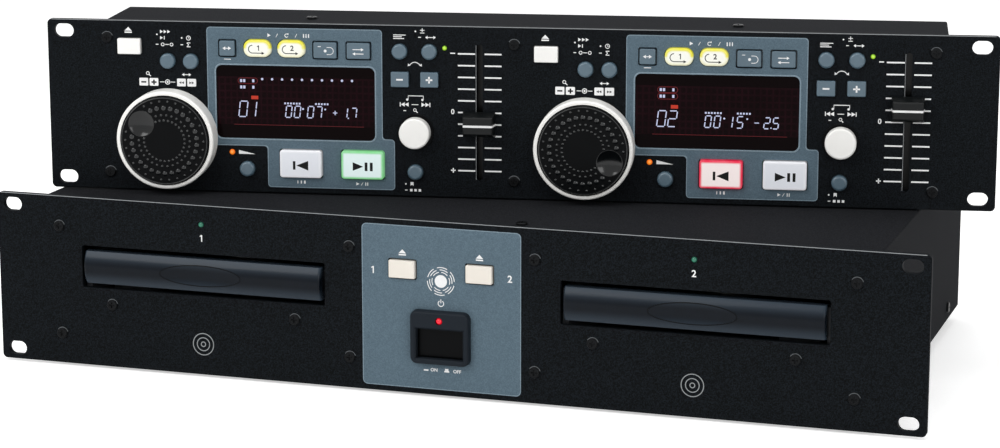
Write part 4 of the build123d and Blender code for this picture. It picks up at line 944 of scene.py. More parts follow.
def rear_marks():
    """The deck numbers over the rear sockets, and the mains sign over the inlet."""
    marks = Print()
    phono_u = [-sum(pair) / 2 for pair in PHONO_PAIRS]
    for first, second in (phono_u, [-u for u in REMOTE_U]):
        figure_one(marks, first, SOCKET_LABEL_V, SOCKET_LABEL_H)
        marks.words("2", second, SOCKET_LABEL_V, SOCKET_LABEL_H)
    for u in phono_u:
        for side in (-1, 1):
            start, corner = u + side * BRACKET_GAP, u + side * BRACKET_HALF_L
            marks.line((start, SOCKET_LABEL_V), (corner, SOCKET_LABEL_V), BRACKET_LINE_W)
            upper, lower = SOCKET_LABEL_V + BRACKET_LINE_W / 2, SOCKET_LABEL_V - BRACKET_DROP
            marks.line((corner, upper), (corner, lower), BRACKET_LINE_W)
    for side, start in ((-1, 0), (1, 180)):
        u = -INLET_U + side * MAINS_SIGN_R
        marks.arc(u, MAINS_SIGN_V, MAINS_SIGN_R, MAINS_SIGN_LINE_W, start, start + 180)
    marks.piece("player_rear_marks", rear_of(PLAYER, PLAYER_REAR), "player", "chassis", white_ink)


# ================================================================ controller plates, windows and lamps

PLATE_T, PLATE_BEVEL = 0.3, 0.12
DECK_PLATE = [
    (-157.9, 85.4), (-157.9, 24.3), (-127.1, 24.3), (-127.1, 3.0),
    (-61.1, 3.0), (-61.1, 29.2), (-67.3, 29.2), (-67.3, 85.4),
]
DECK_PLATE_R = 1.8
WINDOW_GAP = 0.15  # between a window and its rim
RIM_W, RIM_PROUD, RIM_OUTER_R, RIM_INNER_R = 0.8, 0.2, 3.6, 3.0
WINDOW_HOLE_R = 3.2
# gap around the button and corner of its hole in the plate
PLATE_HOLES = {
    "flip_button": (0.7, 1.0),
    "a1_button": (0.35, 4.2),
    "a2_button": (0.35, 4.2),
    "b_button": (0.7, 1.0),
    "exit_button": (0.7, 1.0),
    "cue_button": (0.5, 1.5),
    "play_button": (0.5, 1.5),
}
FLANGE_RIM = 0.7  # how far a button's hidden flange is wider than its front


def button_front(name, deck):
    """The lowest and highest corner of the part of a button that shows through its hole."""
    low, high = node_box(f"{name}_{deck}", CONTROLLER)
    flange = Vector((FLANGE_RIM, FLANGE_RIM, 0))
    return low + flange, high - flange


def window_corners(deck, gap=0.0):
    """The corners of one display window's outline."""
    low, high = node_box("display_windows", CONTROLLER)
    width = high.x - low.x - DECK_PITCH
    middle_u = low.x + width / 2 + (deck - 1) * DECK_PITCH
    return box_corners(middle_u, (low.y + high.y) / 2, width + 2 * gap, high.y - low.y + 2 * gap)


def deck_plates():
    """Each deck's blue-grey plate, with a pale painted highlight line at its edge, and a bevelled rim
    around its window whose paler paint is a painted highlight on its real bevel.
    """
    for deck in (1, 2):
        outlines = [([(deck_u(u, deck), v) for u, v in DECK_PLATE], DECK_PLATE_R)]
        outlines.append((window_corners(deck, WINDOW_GAP + RIM_W / 2), WINDOW_HOLE_R))
        for name, (gap, radius) in PLATE_HOLES.items():
            low, high = button_front(name, deck)
            outlines.append((hole_around(low, high, gap), radius))
        whole = plate(outlines, 0.0, PLATE_T, PLATE_BEVEL)
        finish_piece(whole, f"deck_plate_{deck}", CONTROLLER, "controller", "front_panel", field_paint)
        line = highlight_line(outlines[0][0], DECK_PLATE_R, PLATE_T)
        finish_piece(line, f"deck_plate_highlight_{deck}", CONTROLLER, "controller", "front_panel", pale_highlight_paint)
        outer = (window_corners(deck, WINDOW_GAP + RIM_W), RIM_OUTER_R)
        inner = (window_corners(deck, WINDOW_GAP), RIM_INNER_R)
        rim = plate([outer, inner], 0.0, PLATE_T + RIM_PROUD, RIM_PROUD)
        finish_piece(rim, f"window_rim_{deck}", CONTROLLER, "controller", "front_panel", pale_highlight_paint)


SEGMENTS = {
    "0": "abcdef", "1": "bc", "2": "abged", "5": "afgcd", "7": "abc",
}
SEGMENT_ENDS = {
    "a": ((0, 1), (1, 1)), "b": ((1, 1), (1, 0.5)), "c": ((1, 0.5), (1, 0)), "d": ((0, 0), (1, 0)),
    "e": ((0, 0.5), (0, 0)), "f": ((0, 1), (0, 0.5)), "g": ((0, 0.5), (1, 0.5)),
}
SEGMENT_W, SEGMENT_GAP, SEGMENT_SLANT = 0.54, 0.16, 0.12


def segment_digit(marks, digit, u, v, width, height):
    """A seven-segment digit whose lower left corner is (u, v), leaning to the right."""
    for name in SEGMENTS[digit]:
        start, end = [
            Vector((u + a * width + b * height * SEGMENT_SLANT, v + b * height))
            for a, b in SEGMENT_ENDS[name]
        ]
        along = (end - start).normalized() * (SEGMENT_W * 0.3 + SEGMENT_GAP)
        marks.line(start + along, end - along, SEGMENT_W)


GLASS_W = -0.3
# digit, its lower left corner from deck 1's origin, width and height
DISPLAY_DIGITS = {
    1: [
        ("0", -142.0, 39.3, 4.0, 8.0), ("1", -137.4, 39.3, 4.0, 8.0),
        ("0", -117.7, 39.4, 2.9, 5.9), ("0", -113.2, 39.4, 2.9, 5.9),
        ("0", -106.4, 39.4, 2.9, 5.9), ("7", -102.1, 39.4, 2.9, 5.9),
        ("1", -88.4, 39.8, 2.5, 5.1), ("7", -83.9, 39.8, 2.7, 5.1),
    ],
    2: [
        ("0", -142.4, 39.2, 4.0, 8.0), ("2", -136.9, 39.2, 4.0, 8.0),
        ("0", -118.4, 39.2, 2.9, 5.9), ("0", -113.8, 39.2, 2.9, 5.9),
        ("1", -107.6, 39.2, 2.9, 5.9), ("5", -102.4, 39.2, 2.9, 5.9),
        ("2", -88.8, 39.2, 2.7, 5.6), ("5", -84.4, 39.2, 2.7, 5.6),
    ],
}
DOT_COUNT, DOTS_U, DOTS_V, DOT_R = 10, (-129.5, -83.0), 58.9, 0.62
POINTS = [(-108.5, 43.9, 0.5), (-97.0, 43.9, 0.45), (-85.1, 39.6, 0.36)]  # u, v and radius
SIGN_LINE_W = 0.45
# lines of each deck's plus or minus sign
PITCH_SIGNS = {
    1: [((-93.0, 42.2), (-90.8, 42.2)), ((-91.9, 41.1), (-91.9, 43.3))],
    2: [((-93.4, 42.0), (-91.1, 42.0))],
}
TAG_ROWS_V, TAG_H = (57.9, 54.6), 1.5
TAG_BARS_U = ((-141.0, -139.9), (-139.4, -138.3), (-134.7, -133.6))
TAG_ENDS_U, TAG_HALF_H, TAG_LINE_W = (-140.6, -133.4), 1.45, 0.3
RED_TAG = (-133.5, 49.3, 3.6, 1.8)
BASE_LINE, BASE_LINE_W = ((-144.5, 35.2), (-77.0, 35.2)), 0.2
# Small bars stand for the display's labels over the times: first place and count.
LABELS = ((-118.2, 6), (-102.2, 5))
LABEL_V, LABEL_PITCH, LABEL_BAR = 46.6, 1.5, 0.9


def display_digits(deck):
    """The white digits, dots and small bars of one display."""
    white = Print(GLASS_W, 0.03, deck_u(0, deck))
    for place in DISPLAY_DIGITS[deck]:
        segment_digit(white, *place)
    spots = list(POINTS)
    if deck == 1:
        step = (DOTS_U[1] - DOTS_U[0]) / (DOT_COUNT - 1)
        spots += [(DOTS_U[0] + index * step, DOTS_V, DOT_R) for index in range(DOT_COUNT)]
    for start, end in PITCH_SIGNS[deck]:
        white.line(start, end, SIGN_LINE_W)
    for u, v, radius in spots:
        white.disc(u, v, radius, steps=12)
    for v in TAG_ROWS_V:
        for start, end in TAG_BARS_U:
            white.line((start, v), (end, v), TAG_H)
    for start, count in LABELS:
        for index in range(count):
            left = start + index * LABEL_PITCH
            white.line((left, LABEL_V), (left + LABEL_BAR, LABEL_V), LABEL_BAR)
    white.piece(f"display_digits_{deck}", CONTROLLER, "controller", "lamp_white", display_white)


def display_reds(deck):
    """The red tag, the outlines around the rows of bars and the line under the digits.

    Deck 1's display has one row outlined, and deck 2's has both.
    """
    red = Print(GLASS_W, 0.02, deck_u(0, deck))
    red.box(*RED_TAG)
    red.piece(f"display_red_tag_{deck}", CONTROLLER, "controller", "lamp_white", display_red)
    outlines = Print(GLASS_W, 0.02, deck_u(0, deck))
    left, right = TAG_ENDS_U
    for v in TAG_ROWS_V[:deck]:
        for side in (-1, 1):
            height = v - side * TAG_HALF_H
            outlines.line((left, height), (right, height), TAG_LINE_W)
        outlines.arc(left, v, TAG_HALF_H, TAG_LINE_W, 90, 270, steps=10)
        outlines.arc(right, v, TAG_HALF_H, TAG_LINE_W, -90, 90, steps=10)
    outlines.line(*BASE_LINE, BASE_LINE_W)
    outlines.piece(f"display_outlines_{deck}", CONTROLLER, "controller", "lamp_white", display_dim_red)


BRAKE_LAMP_AT, BRAKE_LAMP_R, BRAKE_LAMP_H = (-145.7, 20.8), 1.45, 1.4
KEY_LAMP_AT, KEY_LAMP_R, KEY_LAMP_H = (-35.4, 76.7), 1.2, 1.2


def controller_lamps():
    """The orange brake lamp and the green key lamp of each deck."""
    orange = lens_plastic("orange_lens", "#C25208", "#F7A23A", 0.95)
    lime = lens_plastic("lime_lens", "#5F8A12", "#CBE84F", 0.95)
    for deck in (1, 2):
        for name, (u, v), radius, height, finish in (
            ("brake_lamp", BRAKE_LAMP_AT, BRAKE_LAMP_R, BRAKE_LAMP_H, orange),
            ("key_lamp", KEY_LAMP_AT, KEY_LAMP_R, KEY_LAMP_H, lime),
        ):
            place = (deck_u(u, deck), v, LENS_SEAT_W)
            lamp(f"{name}_{deck}", CONTROLLER, "controller", place, radius, height, finish)


# ================================================================ controller marks


def magnifier(marks, u, v, size):
    """A search glass."""
    marks.ring(u - 0.15 * size, v + 0.15 * size, 0.32 * size, 0.14 * size)
    marks.line((u + 0.12 * size, v - 0.12 * size), (u + 0.5 * size, v - 0.5 * size), 0.18 * size)


def skip_sign(marks, u, v, size, way):
    """Two arrows against a bar, pointing left (-1) or right (1)."""
    turn = 0 if way > 0 else 180
    marks.arrow(u - way * 0.75 * size, v, size, 1.1 * size, turn)
    marks.arrow(u + way * 0.25 * size, v, size, 1.1 * size, turn)
    marks.box(u + way * 0.9 * size, v, 0.22 * size, 1.1 * size)


def short_press(marks, u, v):
    """The dot before what a short press does."""
    marks.disc(u, v, 0.42)


def long_press(marks, u, v, half=0.7):
    """The dash before what a long press does."""
    marks.line((u - half, v), (u + half, v), 0.4)


def play_mode_signs(marks):
    """Play on, play one, and relay from deck to deck."""
    short_press(marks, -183.8, 80.9)
    for index in range(3):
        marks.arrow(-181.4 + 1.9 * index, 82.4, 1.5, 1.8)
    marks.arrow(-181.4, 79.2, 1.5, 1.8)
    marks.box(-180.0, 79.2, 0.4, 1.8)
    long_press(marks, -183.8, 75.8)
    for u in (-180.9, -176.3):
        marks.ring(u, 75.8, 0.75, 0.35)
    marks.line((-179.6, 75.8), (-177.6, 75.8), 0.35)


SIGMA = [(-166.4, 76.8), (-168.3, 76.8), (-167.3, 75.8), (-168.3, 74.8), (-166.4, 74.8)]


def time_signs(marks):
    """A clock for the track's time, and a sigma for the whole disc's."""
    short_press(marks, -170.9, 79.3)
    marks.ring(-167.4, 79.3, 1.05, 0.34)
    marks.line((-167.4, 80.0), (-167.4, 79.2), 0.3)
    marks.line((-167.5, 79.3), (-166.8, 79.3), 0.3)
    long_press(marks, -170.9, 75.8)
    for start, end in zip(SIGMA, SIGMA[1:]):
        marks.line(start, end, 0.36)


SEARCH_V = 56.2
SEARCH_LESS_U, SEARCH_MORE_U, SCAN_BACK_U, SCAN_ON_U = -191.3, -185.95, -171.55, -166.2
TILE_HALF_W, TILE_HALF_H, TILE_CUT = 2.3, 2.0, 0.3


def search_signs(marks, black):
    """White tiles with black signs for search and scan, and a search glass and arrows over them."""
    magnifier(marks, -188.7, 60.4, 2.4)
    marks.arrow(-170.6, 60.4, 1.3, 1.7, 180)
    marks.line((-170.0, 60.4), (-167.6, 60.4), 0.38)
    marks.arrow(-167.0, 60.4, 1.3, 1.7)
    lower_half = [
        (-TILE_HALF_W, TILE_CUT - TILE_HALF_H),
        (TILE_CUT - TILE_HALF_W, -TILE_HALF_H),
        (TILE_HALF_W - TILE_CUT, -TILE_HALF_H),
        (TILE_HALF_W, TILE_CUT - TILE_HALF_H),
    ]
    tile = lower_half + [(-a, -b) for a, b in lower_half]
    for u in (SEARCH_LESS_U, SEARCH_MORE_U, SCAN_BACK_U, SCAN_ON_U):
        marks.shape([(u + a, SEARCH_V + 0.1 + b) for a, b in tile])
    for u in (SEARCH_LESS_U, SEARCH_MORE_U):
        black.box(u, SEARCH_V, 2.6, 0.8)
    black.box(SEARCH_MORE_U, SEARCH_V, 0.8, 2.6)
    for u, turn in ((SCAN_BACK_U, 180), (SCAN_ON_U, 0)):
        for shift in (-0.65, 0.65):
            black.arrow(u + shift, SEARCH_V, 1.2, 1.3, turn)
    for start, end in ((-182.8, -180.4), (-177.2, -174.8)):
        marks.line((start, SEARCH_V + 0.2), (end, SEARCH_V + 0.2), 0.35)
    marks.ring(-178.8, SEARCH_V + 0.2, 1.15, 0.4)
    marks.disc(-178.8, SEARCH_V + 0.2, 0.55)


def brake_sign(marks):
    """A fading wedge."""
    marks.shape([(-142.2, 19.9), (-133.6, 19.9), (-142.2, 21.9)])


def title_and_key_signs(marks):
    """Lines of a title, the pitch's plus and minus, and the width of its range."""
    for v, length in ((83.0, 6.4), (82.1, 4.4), (81.2, 5.6)):
        marks.line((-61.6, v), (-61.6 + length, v), 0.4)
    short_press(marks, -50.2, 85.0)
    for v in (85.6, 84.2):
        marks.line((-47.8, v), (-45.6, v), 0.36)
    marks.line((-46.7, 86.6), (-46.7, 84.7), 0.36)
    long_press(marks, -48.1, 82.0)
    marks.arrow(-44.6, 82.0, 1.2, 1.7, 180)
    marks.line((-44.0, 82.0), (-41.0, 82.0), 0.36)
    marks.arrow(-40.4, 82.0, 1.2, 1.7)


def pitch_bend_sign(marks):
    """A bow with an arrow at each end."""
    marks.arc(-50.6, 66.2, 3.0, 0.4, 30, 150, steps=12)
    marks.arrow(-47.4, 67.6, 1.2, 1.6, -50)
    marks.arrow(-53.8, 67.6, 1.2, 1.6, 230)


def track_signs(marks):
    """Two notes, the skip signs and a search glass over the track knob."""
    for u in (-54.6, -46.8):
        marks.disc(u, 50.0, 0.62)
        marks.line((u + 0.5, 50.0), (u + 0.5, 52.2), 0.26)
    marks.line((-54.2, 52.0), (-46.2, 52.0), 0.4)
    skip_sign(marks, -56.4, 47.5, 2.0, -1)
    marks.line((-52.3, 47.5), (-48.9, 47.5), 0.35)
    skip_sign(marks, -44.8, 47.5, 2.0, 1)
    long_press(marks, -55.9, 44.3)
    magnifier(marks, -50.4, 44.4, 2.2)


def memory_signs(marks):
    """A bookmark for the memory, and a row of squares for the presets."""
    short_press(marks, -55.6, 6.4)
    marks.shape([(-53.2, 5.4), (-53.2, 7.4), (-51.6, 7.4), (-51.6, 5.4), (-52.4, 6.1)])
    long_press(marks, -55.35, 3.2, half=0.65)
    for u in (-52.8, -50.6, -48.4):
        marks.box(u, 3.2, 1.3, 1.3)


SCALE_LOW_V, SCALE_STEP, SCALE_COUNT, SCALE_LINE_W = 14.0, 6.0, 11, 0.75
SCALE_SIDES_U = ((-28.6, -19.8), (-15.0, -6.4))
SCALE_SIGN_LINE_W = 0.6


def fader_scale(marks):
    """The scale on both sides of the fader's slot, with its minus, 0 and plus."""
    for index in range(SCALE_COUNT):
        v = SCALE_LOW_V + SCALE_STEP * index
        for start, end in SCALE_SIDES_U:
            marks.line((start, v), (end, v), SCALE_LINE_W)
    marks.line((-32.4, 74.2), (-30.0, 74.2), SCALE_SIGN_LINE_W)
    marks.words("0", -31.3, 44.2, 2.6)
    marks.line((-32.3, 14.1), (-29.9, 14.1), SCALE_SIGN_LINE_W)
    marks.line((-31.1, 15.3), (-31.1, 12.9), SCALE_SIGN_LINE_W)


def deck_marks(marks, black, deck):
    """One deck's printing on the black panel."""
    marks.origin_u = black.origin_u = deck_u(0, deck)
    eject_sign(marks, -198.8, 82.9)
    play_mode_signs(marks)
    time_signs(marks)
    search_signs(marks, black)
    brake_sign(marks)
    title_and_key_signs(marks)
    pitch_bend_sign(marks)
    track_signs(marks)
    memory_signs(marks)
    fader_scale(marks)


HOT_SIGNS_V, PLAY_SIGNS_V = 81.6, 5.8


def plate_marks(marks, deck):
    """One deck's printing on its blue-grey plate: loop, stutter, play and pause."""
    marks.origin_u = deck_u(0, deck)
    marks.arrow(-125.4, HOT_SIGNS_V, 1.7, 1.9)
    for u in (-121.9, -112.0):
        marks.line((u, HOT_SIGNS_V - 0.9), (u + 1.0, HOT_SIGNS_V + 0.9), 0.25)
    marks.arc(-116.4, HOT_SIGNS_V, 0.85, 0.35, 40, 330)
    marks.arrow(-115.6, HOT_SIGNS_V + 0.7, 0.9, 1.0, -60)
    for index in range(3):
        marks.box(-107.6 + 1.3 * index, HOT_SIGNS_V, 0.5, 1.9)
        marks.box(-111.6 + 1.8 * index, PLAY_SIGNS_V + 0.2, 0.45 + 0.2 * index, 1.6)
    marks.arrow(-80.4, PLAY_SIGNS_V, 1.6, 1.7)
    marks.line((-78.7, PLAY_SIGNS_V - 0.8), (-77.7, PLAY_SIGNS_V + 0.8), 0.25)
    for u in (-76.3, -75.3):
        marks.box(u, PLAY_SIGNS_V, 0.45, 1.7)
    marks.line((-149.0, 68.9), (-145.4, 68.9), 0.4)


# a pale line along one side of each fader slot: a painted highlight on the slot's edge
SLOT_HIGHLIGHT = (-19.35, 43.9, 0.2, 69.0)


def controller_marks():
    """The printing of both decks, and a painted highlight along one edge of each fader slot."""
    panel_print, plate_print, black_print = Print(), Print(PLATE_T), Print(INK_T, 0.02)
    slot_highlights = Print()
    for deck in (1, 2):
        slot_highlights.origin_u = deck_u(0, deck)
        slot_highlights.box(*SLOT_HIGHLIGHT)
        deck_marks(panel_print, black_print, deck)
        plate_marks(plate_print, deck)
    panel_print.piece("controller_marks", CONTROLLER, "controller", "front_panel", white_ink)
    plate_print.piece("deck_plate_marks", CONTROLLER, "controller", "front_panel", white_ink)
    black_print.piece("controller_black_marks", CONTROLLER, "controller", "front_panel", black_ink)
    slot_highlights.piece("fader_slot_edges", CONTROLLER, "controller", "front_panel", grey_ink_and_highlight)


# size of the painted highlight strip on each panel's top edge, and how far in it sits
PANEL_HIGHLIGHT_LINE, PANEL_HIGHLIGHT_IN = (478.0, 0.3, 0.3), 0.17
HEAD_DEPTH = -0.3  # what a fixing has in front of this belongs to a panel screw's head
HEAD_REACH = 9.0  # points nearer to each other than this are on one head
# width, gap and end angles of the painted highlight arc over each screw head
HEAD_HIGHLIGHT_W, HEAD_HIGHLIGHT_GAP, HEAD_HIGHLIGHT_ENDS = 0.35, 0.15, (15, 150)


def front_screws(name, unit):
    """The middle and radius of each screw head on a unit's front."""
    inverse = unit.inverted()
    heads = []
    for vertex in frame["nodes"][name].data.vertices:
        place = inverse @ vertex.co
        if place.z > HEAD_DEPTH:
            head = next((spots for spots in heads if (spots[0] - place).length < HEAD_REACH), None)
            if head is None:
                heads.append([place])
            else:
                head.append(place)
    for spots in heads:
        across, up = [spot.x for spot in spots], [spot.y for spot in spots]
        yield (min(across) + max(across)) / 2, (min(up) + max(up)) / 2, (max(across) - min(across)) / 2


def screw_highlights():
    """A painted highlight: a pale arc over the upper edge of each screw head, where it would catch the
    light.
    """
    for name, unit in (("player", PLAYER), ("controller", CONTROLLER)):
        edges = Print()
        for u, v, radius in front_screws(f"{name}_fixings", unit):
            edges.arc(u, v, radius + HEAD_HIGHLIGHT_GAP, HEAD_HIGHLIGHT_W, *HEAD_HIGHLIGHT_ENDS, steps=12)
        edges.piece(f"{name}_screw_highlights", unit, name, "front_panel", highlight_ink)


def panel_highlights():
    """A painted highlight: a grey strip on the upper edge of each front panel, where it would catch the
    light.
    """
    for name, unit in (("player", PLAYER), ("controller", CONTROLLER)):
        bm = bmesh.new()
        bmesh.ops.create_cube(bm, size=1.0)
        bmesh.ops.scale(bm, vec=PANEL_HIGHLIGHT_LINE, verts=bm.verts)
        bmesh.ops.translate(bm, vec=(0, PANEL_H - PANEL_HIGHLIGHT_IN, -PANEL_HIGHLIGHT_IN), verts=bm.verts)
        finish_piece(bm, f"{name}_panel_highlight", unit, name, "front_panel", grey_ink_and_highlight)


# ================================================================ controller: buttons, wheels, faders

# the unlit caps glow faintly too: a painted glow that whitens them though their lamps are off
unlit_cap_painted_glow = lit_cap_plastic("milky_cap_painted_glow", "#E9ECF3", "#F4F5FA", 0.18)
green_lit = lit_cap_plastic("green_lit_cap", "#E4F5F4", "#86DB92", 0.5)
red_lit = lit_cap_plastic("red_lit_cap", "#FCEEEC", "#F0284E", 0.5)
yellow_lit = lit_cap_plastic("yellow_lit_cap", "#FAFAF0", "#EDE545", 0.45)
CAP_FINISHES = {
    ("cue_button", 1): unlit_cap_painted_glow,
    ("cue_button", 2): red_lit,
    ("play_button", 1): green_lit,
    ("play_button", 2): unlit_cap_painted_glow,
}


def mark_on(name, deck, draw, finish):
    """Printing on a button's face, which moves with the button."""
    low, high = button_front(name, deck)
    marks = Print(high.z, 0.03)
    draw(marks, (low.x + high.x) / 2, (low.y + high.y) / 2)
    marks.piece(f"{name}_mark_{deck}", CONTROLLER, f"{name}_{deck}", "grey_plastic", finish)


def cue_sign(marks, u, v):
    """Back to the cue point: a bar and an arrow."""
    marks.box(u - 3.3, v - 0.6, 1.3, 4.4)
    marks.arrow(u + 0.9, v - 0.6, 6.2, 5.0, 180)


def play_sign(marks, u, v):
    """Play and pause."""
    marks.arrow(u - 2.2, v - 0.6, 5.4, 4.4)
    for shift in (2.0, 4.7):
        marks.box(u + shift, v - 0.6, 1.45, 4.4)


def loop_sign(number):
    """A loop arrow around a number."""

    def draw(marks, u, v):
        marks.arc(u - 2.4, v - 0.3, 2.0, 0.42, 90, 270, steps=12)
        marks.line((u - 2.4, v - 2.3), (u + 2.6, v - 2.3), 0.42)
        marks.arrow(u + 3.1, v - 2.3, 1.5, 1.5)
        if number == "1":
            figure_one(marks, u + 0.6, v + 0.3, 2.7)
        else:
            marks.words(number, u + 0.6, v + 0.3, 2.7)

    return draw


def end_sign(marks, u, v):
    """The loop's end: a flag and its return."""
    marks.line((u - 3.6, v + 2.0), (u - 2.0, v + 2.0), 0.32)
    marks.disc(u + 0.2, v - 0.2, 0.75)
    marks.arc(u + 2.6, v - 0.2, 1.8, 0.3, -90, 90, steps=12)
    marks.line((u + 1.0, v + 1.6), (u + 2.6, v + 1.6), 0.3)
    marks.line((u + 1.0, v - 2.0), (u + 2.6, v - 2.0), 0.3)


def exit_sign(marks, u, v):
    """Out of the loop and back into it."""
    marks.line((u - 2.8, v + 0.8), (u + 1.6, v + 0.8), 0.4)
    marks.arrow(u + 2.2, v + 0.8, 1.4, 1.6)
    marks.line((u + 2.8, v - 1.4), (u - 1.6, v - 1.4), 0.4)
    marks.arrow(u - 2.2, v - 1.4, 1.4, 1.6, 180)


def flip_sign(marks, u, v):
    """Change over."""
    marks.arrow(u - 1.5, v + 0.1, 1.5, 1.9, 180)
    marks.arrow(u + 1.5, v + 0.1, 1.5, 1.9)
    marks.box(u, v + 0.1, 1.6, 0.4)


def minus_sign(marks, u, v):
    """Slower."""
    marks.box(u, v, 3.4, 0.85)


def plus_sign(marks, u, v):
    """Faster."""
    marks.box(u, v, 3.4, 0.85)
    marks.box(u, v, 0.85, 3.4)


BUTTON_MARKS = {
    "cue_button": (cue_sign, black_ink),
    "play_button": (play_sign, black_ink),
    "a1_button": (loop_sign("1"), black_ink),
    "a2_button": (loop_sign("2"), black_ink),
    "b_button": (end_sign, white_ink),
    "exit_button": (exit_sign, white_ink),
    "flip_button": (flip_sign, white_ink),
    "bend_minus_button": (minus_sign, white_ink),
    "bend_plus_button": (plus_sign, white_ink),
}


# corner, rounded edge, how far in the glow reaches, and the share of it on the lower half
LIT_CAPS = {
    "cue_button": (1.4, 0.65, 1.0, 1.0),
    "play_button": (1.4, 0.65, 1.0, 1.0),
    "a1_button": (3.9, 0.9, 1.1, 0.25),
    "a2_button": (3.9, 0.9, 1.1, 0.25),
}


def lit_caps(deck):
    """The large cue and play caps and the two loop caps."""
    for name, (corner, edge, inset, lower_glow) in LIT_CAPS.items():
        low, high = button_front(name, deck)
        shape = cap(low, high, corner, edge, inset, lower_glow)
        finish = CAP_FINISHES.get((name, deck), yellow_lit)
        piece = finish_piece(
            shape, f"{name}_cap_{deck}", CONTROLLER, f"{name}_{deck}", "lamp_white", finish
        )
        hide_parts(f"{name}_{deck}")


# radius of the row, radius and height of a dome, and its shift along the row in steps
JOG_RINGS = (
    (20.4, 0.75, 0.45, 0.0), (17.0, 1.4, 0.7, 0.5), (13.3, 0.78, 0.45, 0.0), (10.6, 0.72, 0.4, 0.5),
)
JOG_DOTS = 30
DIMPLE_R, DIMPLE_DISTANCE = 6.35, 14.65
DIMPLE_TURN = {1: radians(144.0), 2: radians(-23.5)}
# (radius, w) from the wheel's face
JOG_LIP = [(21.8, -0.05), (22.0, 0.28), (22.3, 0.28), (22.6, -0.3), (21.8, -0.05)]
DIMPLE_BOWL = [
    (0.0, -1.36), (2.2, -1.19), (4.4, -0.7), (6.2, 0.02), (6.4, 0.14), (6.7, 0.14), (6.9, -0.1),
]


def jog_grip(deck):
    """Four rows of small domes on the jog wheel, the fine lip around it, and the dimple's bowl."""
    low, high = node_box(f"jog_wheel_{deck}", CONTROLLER)
    middle, top = (low + high) / 2, high.z
    dimple = Vector((cos(DIMPLE_TURN[deck]), sin(DIMPLE_TURN[deck]))) * DIMPLE_DISTANCE
    bm = bmesh.new()
    for radius, size, height, stagger in JOG_RINGS:
        for index in range(JOG_DOTS):
            turn = tau * (index + stagger) / JOG_DOTS
            spot = Vector((radius * cos(turn), radius * sin(turn)))
            if (spot - dimple).length > DIMPLE_R + size:
                dome(bm, middle.x + spot.x, middle.y + spot.y, top, size, height, segments=10, rings=3)
    lathe(bm, [(radius, top + w) for radius, w in JOG_LIP], middle.x, middle.y, steps=72)
    body = f"jog_wheel_{deck}"
    finish_piece(clean(bm), f"jog_grip_{deck}", CONTROLLER, body, "black_plastic", glossy_abs)
    bowl = bmesh.new()
    centre = middle.xy + dimple
    lathe(bowl, [(radius, top + w) for radius, w in DIMPLE_BOWL], centre.x, centre.y)
    finish_piece(clean(bowl), f"jog_dimple_{deck}", CONTROLLER, body, "black_plastic", bowl_abs)


KNOB_COLLAR = [(8.1, 0.02), (8.1, 0.5), (9.1, 0.5), (9.4, 0.2), (9.4, 0.02), (8.1, 0.02)]


def knob_collar(deck):
    """A glossy black washer around the track knob."""
    low, high = node_box(f"track_knob_{deck}", CONTROLLER)
    middle = (low + high) / 2
    bm = bmesh.new()
    lathe(bm, KNOB_COLLAR, middle.x, middle.y)
    finish_piece(clean(bm), f"knob_collar_{deck}", CONTROLLER, "controller", "black_plastic", black_abs)


# how far behind the cap's front its taper starts, how far in it ends, and the rounding of its front edge
FADER_SHOULDER, FADER_TOP_IN, FADER_EDGE = 6.0, 0.7, 0.5
FADER_FOOT = 1.2  # how far the line runs on behind that
LINE_W, LINE_PROUD = 1.1, 0.05


def fader_line(deck):
    """The white line across a fader's cap and down its two sides."""
    low, high = node_box(f"pitch_fader_{deck}", CONTROLLER)
    middle_u, middle_v = (low.x + high.x) / 2, (low.y + high.y) / 2
    half, top = (high.x - low.x) / 2 + LINE_PROUD, high.z + LINE_PROUD
    side = [
        (half, top - FADER_SHOULDER - FADER_FOOT),
        (half, top - FADER_SHOULDER),
        (half - FADER_TOP_IN, top - FADER_EDGE),
        (half - FADER_TOP_IN - FADER_EDGE, top),
    ]
    profile = side + [(-u, w) for u, w in reversed(side)]
    bm = bmesh.new()
    low_v = middle_v - LINE_W / 2
    section = bm.faces.new([bm.verts.new((middle_u + u, low_v, w)) for u, w in profile])
    drawn = bmesh.ops.extrude_face_region(bm, geom=[section])["geom"]
    upper = [item for item in drawn if isinstance(item, bmesh.types.BMVert)]
    bmesh.ops.translate(bm, vec=(0, LINE_W, 0), verts=upper)
    name, body = f"fader_line_{deck}", f"pitch_fader_{deck}"
    finish_piece(clean(bm), name, CONTROLLER, body, "white_plastic", white_ink)


def build():
    """Makes every piece."""
    player_centre_field()
    player_marks()
    player_lamps()
    panel_highlights()
    screw_highlights()
    tray_grip_shade_lines()
    rear_sockets()
    rear_marks()
    deck_plates()
    controller_marks()
    controller_lamps()
    for deck in (1, 2):
        display_digits(deck)
        display_reds(deck)
        lit_caps(deck)
        for name, (draw, finish) in BUTTON_MARKS.items():
            mark_on(name, deck, draw, finish)
        jog_grip(deck)
        knob_collar(deck)
        fader_line(deck)


build()

# ================================================================ floor, light and camera

FLOOR_HALF, FLOOR_DROP, FLOOR_GLOW = 6.0, 0.0002, 0.5
WORLD_LEVEL = 0.5
# place, width and height in metres, and power in watts
LAMPS = {
    "key": ((-1.0, -1.4, 1.4), 1.4, 0.9, 20.0),
    "fill": ((1.5, -1.4, 0.7), 1.0, 0.8, 9.0),
    "top": ((0.1, 0.1, 1.5), 1.4, 0.7, 9.0),
}
CAMERA_AT = (0.455, -1.3127, 0.3421)
CAMERA_LEFT, CAMERA_DOWN = radians(17.96), radians(12.18)
LENS = 104.4


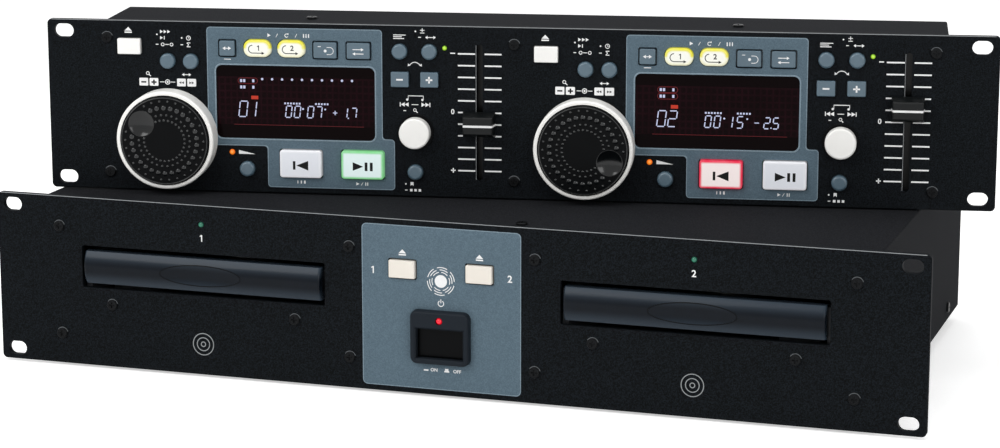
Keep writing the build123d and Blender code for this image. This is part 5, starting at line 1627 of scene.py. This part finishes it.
def seen_directly(tree):
    """1 for rays from the camera, off gloss and through clear plastic, and 0 for the others."""
    path = node(tree, "ShaderNodeLightPath")
    two = node(
        tree,
        "ShaderNodeMath",
        {0: path.outputs["Is Camera Ray"], 1: path.outputs["Is Glossy Ray"]},
        operation="MAXIMUM",
    )
    three = node(
        tree,
        "ShaderNodeMath",
        {0: two.outputs[0], 1: path.outputs["Is Transmission Ray"]},
        operation="MAXIMUM",
    )
    return three.outputs[0]


def studio_floor():
    """A wide near-white floor that keeps the object's shadow."""
    bm = bmesh.new()
    bmesh.ops.create_grid(bm, x_segments=1, y_segments=1, size=FLOOR_HALF)
    mesh = bpy.data.meshes.new("studio_floor")
    bm.to_mesh(mesh)
    bm.free()
    finish, tree, shader, _ = material("studio_floor_paper", Roughness=0.9, Specular_IOR_Level=0.0)
    shader.inputs["Base Color"].default_value = srgb("#EDEDED")
    shader.inputs["Emission Color"].default_value = (1.0, 1.0, 1.0, 1.0)
    glow = node(tree, "ShaderNodeMath", {0: seen_directly(tree), 1: FLOOR_GLOW}, operation="MULTIPLY")
    tree.links.new(glow.outputs[0], shader.inputs["Emission Strength"])
    mesh.materials.append(finish)
    floor = bpy.data.objects.new("studio_floor", mesh)
    floor.location.z = cad_box[0].z - FLOOR_DROP
    bpy.context.scene.collection.objects.link(floor)


def studio_world():
    """White where it is seen, and a plain lower level as light."""
    world = bpy.data.worlds.new("studio_world")
    bpy.context.scene.world = world
    world.use_nodes = True
    tree = world.node_tree
    tree.nodes.clear()
    light = node(tree, "ShaderNodeBackground", {"Color": (1, 1, 1, 1), "Strength": WORLD_LEVEL})
    white = node(tree, "ShaderNodeBackground", {"Color": (1, 1, 1, 1), "Strength": 1.0})
    both = node(
        tree, "ShaderNodeMixShader", {0: seen_directly(tree), 1: light.outputs[0], 2: white.outputs[0]}
    )
    node(tree, "ShaderNodeOutputWorld", {0: both.outputs[0]})


def studio_lamps():
    """Large soft boxes that face the object's middle."""
    target = (cad_box[0] + cad_box[1]) / 2
    for name, (place, width, height, power) in LAMPS.items():
        light = bpy.data.lights.new(name, "AREA")
        light.shape = "RECTANGLE"
        light.size = width
        light.size_y = height
        light.energy = power
        lamp_object = bpy.data.objects.new(name, light)
        lamp_object.location = place
        lamp_object.rotation_euler = (target - Vector(place)).to_track_quat("-Z", "Y").to_euler()
        bpy.context.scene.collection.objects.link(lamp_object)


def camera():
    """The photograph's view."""
    lens = bpy.data.cameras.new("camera")
    lens.lens = LENS
    seen_from = bpy.data.objects.new("camera", lens)
    seen_from.location = CAMERA_AT
    seen_from.rotation_euler = Euler((pi / 2 - CAMERA_DOWN, 0, CAMERA_LEFT))
    bpy.context.scene.collection.objects.link(seen_from)
    bpy.context.scene.camera = seen_from


studio_floor()
studio_world()
studio_lamps()
camera()
bpy.context.scene.view_settings.view_transform = "Standard"
